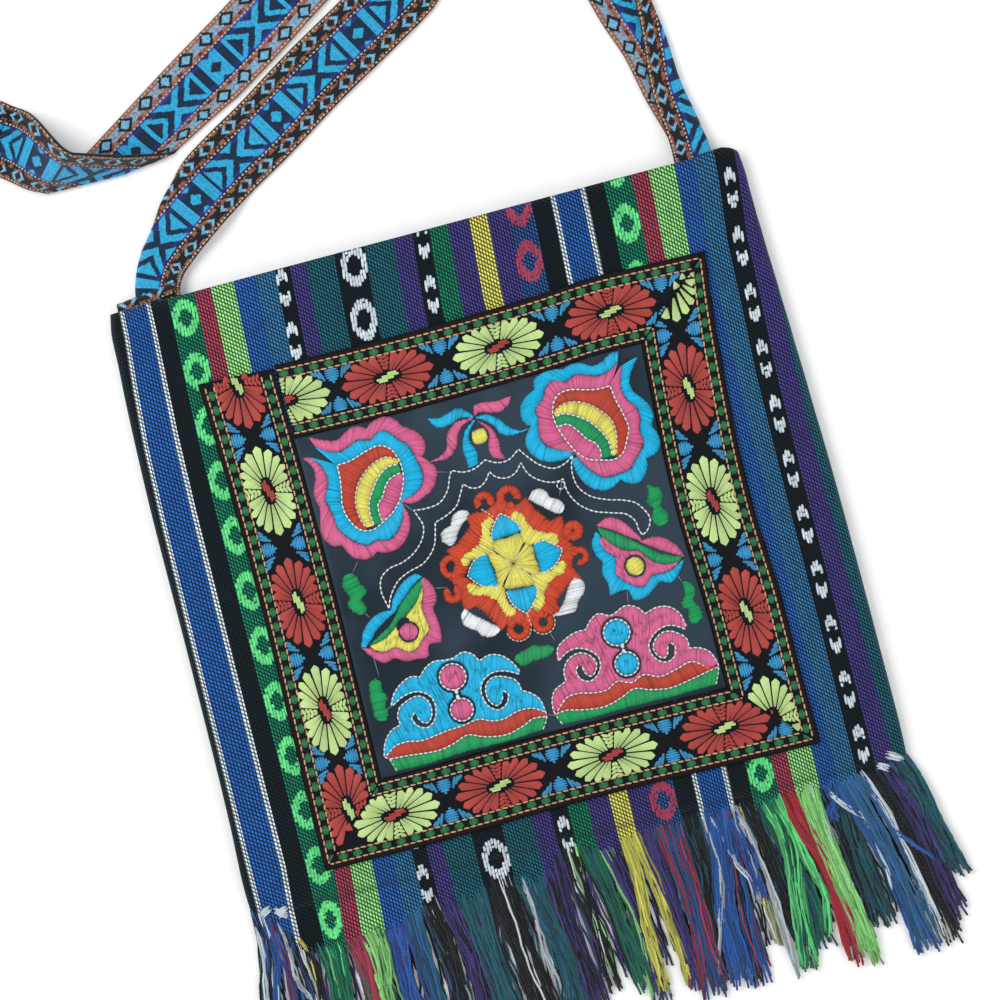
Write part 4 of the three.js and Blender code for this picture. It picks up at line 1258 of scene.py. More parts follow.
LEFT_HEART = [(-64, 50), (-58, 50.5), (-50, 53), (-44, 54), (-39.5, 51.5), (-37, 46), (-36.5, 40), (-38, 34),
              (-41, 28)]
LEFT_HEART_LOW = [(-41, 28), (-45, 24), (-50, 21), (-56, 18.5), (-61, 20), (-64.5, 25), (-66, 31), (-65, 38),
                  (-64, 45), (-64, 50)]
LEFT_ARCS = [
    [(-37.2, 46), *LEFT_HEART[4::-1], *LEFT_HEART_LOW[:3:-1], (-58, 19)],
    [(-37.5, 46), (-42, 48.3), (-47, 47.5), (-53, 44), (-58, 38), (-60, 32), (-60, 26), (-58.5, 20.5)],
    [(-38, 44), (-42, 44), (-47, 41), (-51, 36), (-54, 31), (-55, 26), (-54.5, 20.5)],
    [(-37.5, 40), (-42, 39), (-45, 36.5), (-48, 31.5), (-50.5, 29), (-51, 25), (-50.5, 21)],
    [(-37, 38), (-38, 34), (-41, 28.5), (-45, 24.5), (-49.5, 21.5)],
]
RIGHT_RIM = [(68.5, 69), (65, 69), (61, 66.5), (56, 65.5), (51, 68), (47, 68.5), (43, 67), (43, 67),
             (38, 68), (33, 67.5), (29, 65), (28.5, 61), (28.5, 61), (24, 59), (20.5, 55), (20, 50),
             (22, 46.5), (23.5, 45.5), (23.5, 45.5), (20, 42), (19, 38), (21, 33), (25, 29.5), (31, 28),
             (37, 28.5), (38.5, 29)]
RIGHT_RIM_LOW = [(37, 27), (37.5, 22), (40, 16), (44, 12), (49, 10.5), (54, 12), (56, 13.5), (56, 13.5),
                 (59, 11), (63, 10), (67, 13), (69, 17), (69, 19.5), (69, 19.5), (74, 21), (77, 25),
                 (76.5, 30), (75, 33), (75, 33), (77, 37), (76.5, 42), (74, 46), (71, 50), (70.5, 55),
                 (73, 60), (76, 64)]
RIGHT_BAND = [(67, 64), (63, 61.5), (58, 60.5), (53, 62), (48, 63.5), (43, 61.5), (38, 63.5), (34, 61.5),
              (31.5, 57), (27, 53), (27, 49), (26, 44), (26, 40), (28, 36), (32, 33.5), (37, 31.5)]
RIGHT_BAND_LOW = [(40, 28), (44, 21), (49, 16.5), (53, 16), (58, 16.5), (62, 17.5), (64, 20), (67, 23),
                  (70, 27), (69.5, 33), (71, 38), (70.5, 43), (67, 48), (66, 53), (67, 58), (68.5, 62)]
RIGHT_HEART = [(61.5, 55), (56, 54.8), (50, 56), (44, 57.5), (39, 57), (36, 54.5), (34, 49), (34.5, 43),
               (37, 36), (40, 30)]
RIGHT_HEART_LOW = [(40, 30), (44, 26), (50, 24), (56, 23), (60, 25), (63, 30), (65, 35), (64, 42),
                   (62.5, 48), (61.5, 55)]
RIGHT_ARCS = [
    [*RIGHT_HEART[6::-1], *RIGHT_HEART_LOW[:3:-1], (57, 23.5)],
    [(35, 50), (39, 52), (44, 52), (50, 49.5), (55, 45), (58.5, 40), (59, 33), (57, 25)],
    [(35, 47.5), (38, 48), (43, 46), (48, 42.5), (53, 36), (55, 31), (55, 25)],
    [(35, 43), (39, 43), (43, 39), (46, 34.5), (49, 32), (50.5, 28), (50, 25)],
    [(34.8, 42), (37, 36), (40, 30), (44, 26), (49.5, 24.2)],
]


def peony(rims, bands, hearts, arcs, rim_colour, band_colour):
    """The stitches of one peony."""
    made = []
    for rim, band, heart in zip(rims, bands, hearts):
        made.append(satin_band(rim, band, rim_colour))
        made.append(satin_band(band, heart, band_colour))
    for outer, inner, colour in zip(arcs, arcs[1:], ("red", "yellow", "green", "pink")):
        made.append(satin_band(outer, inner, colour))
    made.append(running_stitch(arcs[1], "cream", 0.32))
    for line in (*arcs[2:4], *hearts):
        made.append(running_stitch(line))
    return made


stitched("peony_left", "pink_thread", peony(
    (LEFT_RIM, LEFT_RIM_LOW), (LEFT_BAND, LEFT_BAND_LOW), (LEFT_HEART, LEFT_HEART_LOW), LEFT_ARCS,
    "pink", "blue"))
stitched("peony_right", "blue_thread", peony(
    (RIGHT_RIM, RIGHT_RIM_LOW), (RIGHT_BAND, RIGHT_BAND_LOW), (RIGHT_HEART, RIGHT_HEART_LOW), RIGHT_ARCS,
    "blue", "pink"))

# Between the peonies a bow of six curved leaves, pink and blue in turn, hangs round a yellow bud. Each leaf
# is one band of satin stitch.
BOW_LEAVES = [
    ("blue", [(-20, 60.5), (-15, 59.5), (-10, 60.8), (-6, 61.7), (-2, 59), (0, 56.5)],
     [(-20, 60), (-18, 56), (-15, 54.8), (-11, 55.5), (-6, 57), (-1, 56)]),
    ("pink", [(-1, 56.3), (-9, 55.8), (-14, 50.5), (-15, 46), (-19, 43), (-23, 42)],
     [(-1.5, 55), (-6, 53.5), (-9, 50), (-11, 44.5), (-16, 41), (-23, 41.3)]),
    ("blue", [(-1, 55), (-6, 50.5), (-8.5, 44), (-8.3, 39), (-8, 35)],
     [(0, 54), (-3, 51), (-4.5, 47), (-2.5, 41), (-3, 36)]),
    ("pink", [(0, 57), (1, 61), (5, 61.6), (10, 60.8), (17.8, 61.2)],
     [(0.5, 56.5), (3, 57.5), (8, 56), (12, 55.5), (16, 57.5), (17.9, 60.6)]),
    ("blue", [(1, 56), (5, 56.2), (10, 53), (13, 49), (18, 45.5), (22, 45.2)],
     [(1, 55), (3, 54), (7, 50.5), (10, 45.5), (14, 44), (22, 44.8)]),
    ("pink", [(1.5, 54), (6, 50), (8, 44), (8, 38), (9, 35)],
     [(1, 53.5), (4.4, 48), (3, 43), (2.5, 40), (3.5, 37)]),
]
bow = [satin_band(upper, lower, colour) for colour, upper, lower in BOW_LEAVES]
bow.append(satin_fill([(-2.8, 50), (2.6, 50.2), (3.0, 44.8), (-2.4, 44.2)], 90, "yellow"))
stitched("bow", "pink_thread", bow)

# The medallion in the middle has four blue drops round a yellow square of four petals, in a yellow star and
# an orange border that ends in eight curls. Four white petals stand off its corners.
MEDALLION = np.array([1.0, -11.0])
STAR_BANDS = [  # colour, padding, how ragged it is, and the outer and inner lines of one quarter
    ("orange", 0.5, 1.2,
     [(0, 28.4), (2.6, 26.8), (5.2, 25.2), (8.6, 25.2), (12.6, 26.8), (12.6, 26.8), (13.8, 23), (15.6, 19.8),
      (17.8, 16.9), (20.8, 14.2), (25.2, 15.2), (25.2, 15.2), (25.6, 10.8), (25.2, 7), (26.2, 3.6),
      (28.4, 0)],
     [(0, 23.0), (3.4, 20.2), (6.4, 20.0), (9.0, 16.4), (12.0, 12.0), (16.4, 9.0), (20.0, 6.4), (20.2, 3.4),
      (23.0, 0)]),
    ("yellow", 0.62, 1.7,
     [(5.6, 22.6), (8.6, 21.2), (10.0, 16.4), (12.6, 12.6), (16.4, 10.0), (21.2, 8.6), (22.6, 5.6)],
     [(4.0, 19.8), (5.9, 17.6), (7.3, 14.6), (6.9, 11.2), (7.6, 7.6), (11.2, 6.9), (14.6, 7.3), (17.6, 5.9),
      (19.8, 4.0)]),
]
CROSS_REACH = (5.0, 8.8)
WHITE_PETALS = [  # direction of the stitches, and outline
    (50, [(14.5, 15), (17, 18), (20, 18.5), (22.5, 17), (24, 13.5), (27, 12), (29, 9.5), (28.5, 7),
          (26.5, 5.5), (24, 6.5), (20, 10), (17, 12.5)]),
    (0, [(-27, 6), (-27, 9), (-25, 11), (-22, 12), (-20.5, 15), (-18, 17), (-15, 17.2), (-12.5, 16),
         (-13, 14), (-16, 12), (-19.5, 8), (-21.5, 4.5), (-24, 3.5)]),
    (45, [(-24, -25), (-26.5, -27), (-27, -31), (-25, -34), (-21.5, -36), (-20, -38.5), (-16, -40),
          (-13, -39), (-11.5, -37.5), (-15, -34), (-18.5, -31), (-22, -28)]),
    (0, [(25, -23), (28, -24.5), (29.5, -27.5), (28, -31), (25, -34), (22.5, -38), (19, -38), (12.5, -37.5),
         (16, -35.5), (19.5, -31.5), (22, -27)]),
]
CURLS = [  # middle of a curl, angles where it starts and stops, its radius and that of its hollow
    ((-5.8, 29.6), -40, 205, 4.8, 1.1), ((5.2, 28.9), 290, -20, 5.7, 1.8),
    ((29.2, 7.8), 0, 360, 4.7, 0.3), ((29.4, -3.9), 150, -120, 4.3, 1.1),
    ((6.6, -28.2), 50, 390, 5.0, 1.7), ((-4.6, -28.4), 0, 360, 5.3, 2.0),
    ((-29.0, -6.6), 120, 420, 4.4, 0.7), ((-26.6, 5.2), 0, 360, 5.6, 2.3),
]
LOOSE_LINES = [
    circle(-4.6, -28.4, 5.5, 185, 350), circle(6.6, -28.2, 5.3, 200, 385), [(0.7, -23), (1.2, -29)],
    [(-8, 27), (-3.2, 22)],
]
DROPS = [  # each drop's outline over its tip from foot to foot, its straight foot, and the petal below it
    ([(-6.8, 12.6), (-5.6, 16.5), (-3.2, 20), (-0.4, 23.1), (-0.4, 23.1), (3, 20.5), (6, 17), (6.9, 13.7)],
     [(-6.6, 12.2), (0, 12.4), (6.6, 13.2)], [(-7.4, 9.2), (-6, 11.6), (0, 11.8), (6, 12.4), (7.2, 9.4)]),
    ([(10.9, 6.2), (15, 6.8), (19, 4.6), (22.7, 1.1), (22.7, 1.1), (20, -3), (16, -6), (11.6, -7.2)],
     [(10.6, 5.8), (10.6, 0), (11.2, -6.8)],
     [(8.4, 7.8), (10.1, 5.8), (10.1, 0), (10.6, -6.2), (9.0, -7.8)]),
    ([(7.8, -11.9), (7.2, -15.5), (4.8, -19), (0.7, -22.9), (0.7, -22.9), (-3.4, -19), (-5.4, -15),
      (-5.8, -11.2)], [(7.4, -11.5), (1, -11.4), (-5.5, -10.8)],
     [(7.6, -9.2), (6.8, -11), (1, -10.9), (-5, -10.3), (-6.3, -9.4)]),
    ([(-8.8, -8.7), (-13, -7.6), (-17, -5), (-20.8, -0.4), (-20.8, -0.4), (-18, 4), (-14.5, 6.6),
      (-10.6, 7.2)], [(-8.6, -8.2), (-9.2, 0), (-10.3, 6.8)],
     [(-7.8, -8.2), (-8.4, -7.6), (-8.7, 0), (-9.8, 6.4), (-8.5, 7.7)]),
]


def quarter(points, turns):
    """Points about the medallion's middle, turned by quarters."""
    points = np.array(points, float)
    for _ in range(turns):
        points = np.column_stack([points[:, 1], -points[:, 0]])
    return points + MEDALLION


medallion = []
for turns in range(4):
    for colour, pad, ragged, *lines in STAR_BANDS:
        outer, inner = (quarter(line, turns) for line in lines)
        medallion.append(satin_band(outer, inner, colour, pad, ragged))
    reach = CROSS_REACH[turns % 2]
    cross = quarter([(0.5, 0.5), (reach * 0.6, reach * 0.62), (reach, reach)], turns)
    medallion.append(running_stitch(cross, "cream", 0.26, 4.4, 0.7))
for lines in DROPS:
    edge, foot, petal = (np.array(line) + MEDALLION for line in lines)
    heart = 0.06 * (petal[[0, -1]] - MEDALLION) + MEDALLION
    medallion.append(satin_band(petal, heart, "yellow", 0.5, 0.4))
    medallion.append(satin_band(edge, foot, "blue", 0.5, 0.4))
    medallion.append(running_stitch(edge, "white", 0.27, 1.8, 0.62))
for (x, y), start, stop, radius, hollow in CURLS:
    curl = [circle(x, y, part, start, stop) + MEDALLION for part in (radius, hollow)]
    medallion.append(satin_band(*curl, "orange", 0.6))
for line in LOOSE_LINES:
    medallion.append(running_stitch(np.array(line) + MEDALLION, "cream", 0.24, 1.8, 0.62))
for angle, outline in WHITE_PETALS:
    medallion.append(satin_fill(outline, angle, "white", longest=22, pad=0.35))
stitched("medallion", "orange_thread", medallion)

# A butterfly sits below each peony, worked in rayon: two wings along a green body, and a scalloped skirt of
# two colours round its eye.
LEFT_BODY_LOW = [(-40.3, -10.6), (-42.9, -15.1), (-46.8, -19.2), (-50.7, -22.1), (-53.9, -23.2),
                 (-56.9, -26.3), (-62.2, -29.5), (-68.6, -31)]
LEFT_SKIRT = [(-41, -14), (-43, -19.5), (-42.1, -26.2), (-42.1, -30), (-45.9, -33.6), (-49.7, -37.1),
              (-52.8, -37.9), (-56.6, -35.4), (-58.9, -34.2), (-62.9, -35.1), (-67.1, -33.7), (-68.9, -31.2)]
stitched("butterfly_left", "pink_thread", [
    satin_band([(-39.7, -6.3), (-41.9, -4.8), (-46, -5.7), (-50.6, -8.7), (-53.8, -12.4), (-56.3, -17.5)],
               [(-40, -7.2), (-44.4, -9.8), (-48.4, -13.2), (-52.5, -16.8), (-55.2, -19.6)], "blue"),
    satin_band([(-56.5, -17.6), (-61.1, -17.6), (-66.1, -19.6), (-70.3, -23.6), (-73.2, -30)],
               [(-55.6, -19.6), (-59.6, -21.8), (-64.2, -24.8), (-67.8, -28.4), (-70.6, -31)], "blue"),
    satin_band([(-39.9, -7.5), (-44.6, -10.2), (-49, -13.7), (-52.4, -17), (-54.9, -20.4), (-59, -24.3),
                (-63.5, -27), (-68.8, -30.2)], LEFT_BODY_LOW, "green"),
    satin_fill([*LEFT_BODY_LOW, *LEFT_SKIRT[::-1]], 65, "yellow",
               [circle(-51, -29, 4.7), circle(-52.6, -25.4, 3.4)], 7.0),
    satin_fill(circle(-51, -29, 3.9), 75, "pink", pad=0.7),
    satin_band([(-38.7, -7.2), (-36.7, -9.6), (-35.2, -13.8), (-35.8, -18.8), (-37.6, -20.9), (-37.5, -25.4),
                (-37, -30), (-37.8, -36.9), (-37.8, -36.9), (-43.6, -37), (-45.4, -42), (-49.8, -41.6),
                (-54.9, -41.6), (-59.5, -39.1), (-64.7, -39.8), (-69.6, -36), (-73.1, -30.9)],
               [(-40.4, -9), *LEFT_SKIRT[:-1], (-69, -32), (-72.6, -30.9)], "pink"),
])
RIGHT_BODY_LOW = [(42, -9), (46, -14), (51, -17.5), (56, -19), (60, -24), (66, -27.5), (72, -28)]
RIGHT_SKIRT = [(42.5, -16), (45.5, -19), (44, -26), (47, -30), (51, -33.5), (55, -34.5), (59, -31),
               (64, -31), (69, -30)]
stitched("butterfly_right", "blue_thread", [
    satin_band([(41, -3), (46, -1), (51, -3), (55, -8), (58, -13)],
               [(42, -4.5), (48, -8), (54, -12.5), (58, -15)], "pink"),
    satin_band([(58, -14.5), (65, -14.5), (70, -17), (74, -22), (75.5, -26)],
               [(58.5, -16), (62, -18.5), (67, -22), (74, -25.8)], "pink"),
    satin_band([(41, -4), (48, -8.5), (54, -13), (60, -18), (66, -22.5), (74, -25.5)],
               RIGHT_BODY_LOW, "green"),
    satin_fill([*RIGHT_BODY_LOW, *RIGHT_SKIRT[::-1], (40.5, -9)], -70, "pink", [circle(53, -25, 5)], 7.0),
    satin_fill(circle(53, -25, 4.0), 20, "yellow", pad=0.7),
    satin_band([(39.5, -6), (36.5, -11), (37, -16), (39, -20), (38, -25), (39.5, -30), (39, -35), (39, -35),
                (47, -34.5), (49, -39.5), (54, -39.5), (59, -36.5), (62, -34.5), (67, -36), (71, -33),
                (74.5, -28)],
               [(41, -8), *RIGHT_SKIRT, (73, -28)], "blue"),
])

# Two cloud knots stand on a red wave and a green bank along the panel's foot, each with a pair of spirals
# and two dots, all outlined in white.
CLOUD_LEFT = [
    [(-75, -80), (-73, -74), (-69, -69.5), (-64.5, -68), (-64.5, -68), (-64.8, -64), (-62.8, -60)],
    [(-66.5, -59), (-64, -54), (-60, -50.5), (-55, -48.5), (-51, -49.5), (-51, -49.5), (-48, -46.5),
     (-44, -44.5), (-38, -45), (-35, -45), (-30, -43.5), (-26, -45.5), (-24, -49), (-24, -49), (-19, -47.5),
     (-14, -49), (-10, -53), (-7.6, -58)],
    [(-11.2, -60), (-9.4, -63), (-9, -66), (-9, -66), (-5, -68.5), (-2, -72), (-1, -77)],
]
SPIRAL_LEFT = ([(-66, -59), (-60, -56), (-54, -55.5), (-49, -58.5), (-47.5, -63), (-49, -69), (-53, -72),
                (-57, -70.5), (-59, -66.5), (-57, -64)],
               [(-62.5, -60), (-58, -58), (-54, -57.5), (-50.5, -60), (-49.5, -64), (-50.5, -68), (-53, -70),
                (-55, -69), (-56.5, -66.5)])
WAVE_LEFT = ([(-74, -80), (-69, -76.5), (-63, -76), (-58, -77), (-45, -75.5), (-38, -75), (-30, -74),
              (-25, -76), (-20, -76.5), (-12, -74.5), (-6, -75), (-1, -78)],
             [(-73, -81.5), (-65, -82), (-50, -83), (-43, -81.5), (-37, -79.5), (-30, -82), (-20, -83.5),
              (-12, -81.5), (-7, -79.5), (-1, -80)],
             [(-71, -87.6), (-60, -87.9), (-37, -86.6), (-20, -86.6), (-4, -85.4)])
CLOUD_RIGHT = [
    [(2.5, -78), (3, -74), (5, -70), (11, -67), (11, -67), (11.2, -62.5), (13, -59)],
    [(10, -57.5), (11, -52), (15, -49), (21, -47), (25, -47), (25, -47), (28, -43.5), (32, -41.5),
     (37, -43.5), (45, -41), (50, -43.5), (52, -46.5), (52, -46.5), (58, -45), (63, -46), (67, -50),
     (68.4, -56.6)],
    [(65.4, -59), (67.4, -62), (67.5, -66), (67.5, -66), (72, -67), (76, -70), (78, -75)],
]
SPIRAL_RIGHT = ([(10, -57.5), (15, -54.5), (19, -54), (24, -56), (27.5, -60), (27.5, -64), (25, -68),
                 (21, -69.5), (17.5, -67.5), (16.5, -63.5), (18, -61.5)],
                [(13, -59), (16, -57), (20, -56.3), (24, -58.5), (26, -62), (25, -65.5), (22.5, -67.5),
                 (20.5, -66), (19.5, -62.5)])
WAVE_RIGHT = ([(4, -79), (10, -74), (15, -73.5), (22, -75), (28, -75), (33, -72.5), (39, -74.5), (45, -72.5),
               (52, -75), (60, -73.5), (67, -72), (74, -77)],
              [(3, -80), (8, -79.5), (15, -81), (25, -82), (33, -80), (39.5, -77.5), (46, -79.5), (55, -81),
               (65, -79.5), (78, -77)],
              [(5, -85.2), (16, -85.6), (35, -85.1), (54, -85.1), (75, -84.6)])
CLOUD_TOP, CLOUD_FOOT, CLOUD_SIDE = -20, -95, 90
LINK_HALF = 2


def cloud_knot(lobes, spiral, axis, wave, dots, colour, dot_colour):
    """The stitches of one cloud knot. Its second spiral is the first one's mirror."""
    spirals = [np.array(line) for line in spiral]
    mirrored = [line * (-1, 1) + (2 * axis, 0) for line in spirals]
    holes = [np.concatenate([pair[0], pair[1][::-1]]) for pair in (spirals, mirrored)]
    holes += [circle(x, y, radius + 1.7) for x, y, radius in dots]
    near, far = axis - LINK_HALF, axis + LINK_HALF
    holes.append(np.array([(near, dots[0][1]), (far, dots[0][1]), (far, dots[1][1]), (near, dots[1][1])]))
    outline = [place for lobe in lobes for place in lobe]
    body = [*outline, *wave[0][::-1]]
    halves = []
    for side in (axis + CLOUD_SIDE, axis - CLOUD_SIDE):
        half = [(side, CLOUD_TOP), (axis, CLOUD_TOP), (axis, CLOUD_FOOT), (side, CLOUD_FOOT)]
        halves.append(np.array(half))
    made = [satin_fill(body, angle, colour, [*holes, half], 8.5, 0.3, 0.1)
            for angle, half in zip((105, 75), halves)]
    made.append(satin_band(wave[0], wave[1], "red"))
    made.append(satin_band(wave[1], wave[2], "leaf"))
    for x, y, radius in dots:
        made.append(satin_fill(circle(x, y, radius), 88, dot_colour, pad=0.6))
        made.append(running_stitch(circle(x, y, radius + 0.4)))
    link = [(axis, dots[0][1] - dots[0][2]), (axis, dots[1][1] + dots[1][2])]
    made.append(running_stitch(link, half=0.7))
    for line in (*lobes, *spirals, *mirrored, wave[0], wave[1]):
        made.append(running_stitch(line, half=0.3))
    for end in (0, -1):
        made.append(running_stitch([outline[end], wave[1][end], wave[2][end]], half=0.3))
    return made


stitched("cloud_left", "blue_thread", cloud_knot(
    CLOUD_LEFT, SPIRAL_LEFT, -37, WAVE_LEFT, [(-37, -53, 5.4), (-36.6, -68, 4.6)], "blue", "pink"))
stitched("cloud_right", "pink_thread", cloud_knot(
    CLOUD_RIGHT, SPIRAL_RIGHT, 39, WAVE_RIGHT, [(38, -51.5, 5.4), (39, -66, 4.8)], "pink", "blue"))

# Five green leaves fill the gaps, a double canopy of white running stitch hangs over the medallion, and fine
# threads cross from one motif to the next where the machine jumped.
LEAVES = [
    [(-70, 2.5), (-68, 1), (-67, -3), (-65, -7), (-68, -10), (-67, -15), (-69, -16.5), (-72, -15),
     (-74, -11), (-72.5, -8), (-74.5, -3), (-73, 1)],
    [(-70, -45.5), (-68.5, -48), (-69, -51), (-67.5, -55), (-69, -58), (-69, -63), (-71, -64.5), (-74, -63),
     (-74.5, -57), (-74, -50), (-73, -46.5)],
    [(-9, -52), (-6, -50), (-2, -49), (1, -48), (4, -49.5), (8, -50), (9.5, -51), (7, -54), (2, -54.5),
     (-2, -55), (-6, -55.5)],
    [(66.5, 9), (69, 7), (71.5, 6), (72, 2), (70, -2), (72.5, -6), (71, -10), (67, -10), (65.5, -6),
     (67, -2), (65, 1), (67, 5)],
    [(72, -37), (75, -38), (76, -42), (74, -46), (76.5, -50), (76, -54), (72.5, -56), (70.5, -54),
     (71.5, -50), (69, -47), (71, -43)],
]
CANOPY = [
    [(-57, -17), (-58.5, -8), (-57, -3), (-53, 0), (-46, 1.5), (-40, 4.5), (-35, 10), (-33.5, 15), (-35, 20),
     (-36, 22.5), (-36, 22.5), (-31, 22), (-24, 23), (-19, 28), (-17, 33), (-15.5, 35.5), (-15.5, 35.5),
     (-10, 33.5), (-5, 34), (0, 36.5), (0, 36.5), (5, 34), (10, 34), (15.5, 37.5), (15.5, 37.5), (18, 34),
     (23, 28.5), (29, 25.5), (34, 26.5), (38, 29), (38, 29), (36.5, 25), (36, 20), (37, 15), (41, 10),
     (48, 6.5), (55, 4.5), (60, 2), (63, -2), (64.5, -6), (62, -11), (59.5, -12.5)],
    [(-57, -17), (-55, -12), (-50, -6), (-45, -3.5), (-37, -1), (-31, 5), (-29, 11), (-28, 15), (-28, 15),
     (-22, 17), (-17, 20), (-14.5, 24), (-12, 28.5), (-12, 28.5), (-9, 26), (-5, 25.5), (-1.5, 28),
     (0.5, 31), (0.5, 31), (3, 28), (8, 26.5), (12, 28), (15, 31.5), (15, 31.5), (17, 26), (22, 21.5),
     (28, 19.5), (31.5, 20), (31.5, 20), (32, 14), (35, 8), (41, 3), (48, 0.5), (55, -2), (58, -6),
     (58.5, -10), (59.5, -12.5)],
]
JUMPS = [
    [(-28, 38), (-16, 35)], [(-65, 7), (-69, 2)], [(-40, 27), (-36, 22)], [(-68, -16), (-66, -19)],
    [(-69, -33), (-68.5, -46)], [(-36, -13), (-30, -14)], [(-69, -60), (-66, -59)], [(47, -34), (46, -40.5)],
    [(70, -33), (71.5, -37)], [(70, -55), (66, -58)], [(9, -44), (11, -49)], [(-1, -79), (4, -81)],
    [(18, 45), (23, 45.5)], [(31, 20), (28, 13)], [(-19, 42), (-22, 41)], [(38, 29), (40, 30)],
]
LEAF_ANGLES = (10, 0, 80, 10, 5)
small_threads = []
for leaf, angle in zip(LEAVES, LEAF_ANGLES):
    small_threads.append(satin_fill(leaf, angle, "leaf", pad=0.3, ragged=0.7))
small_threads += [running_stitch(line, "white", 0.32) for line in CANOPY]
small_threads.append(running_stitch(circle(29.8, 17.6, 1.7), "white", 0.25))
for start, stop in JUMPS:
    span = math.dist(start, stop)
    middle = ((start[0] + stop[0]) / 2, (start[1] + stop[1]) / 2)
    small_threads.append(running_stitch([start, middle, stop], "grey", 0.16, span, 0.3))
small_stitches = thread_piece("leaf_and_canopy_stitches", small_threads, rayon)
seat(small_stitches, "blue_thread")

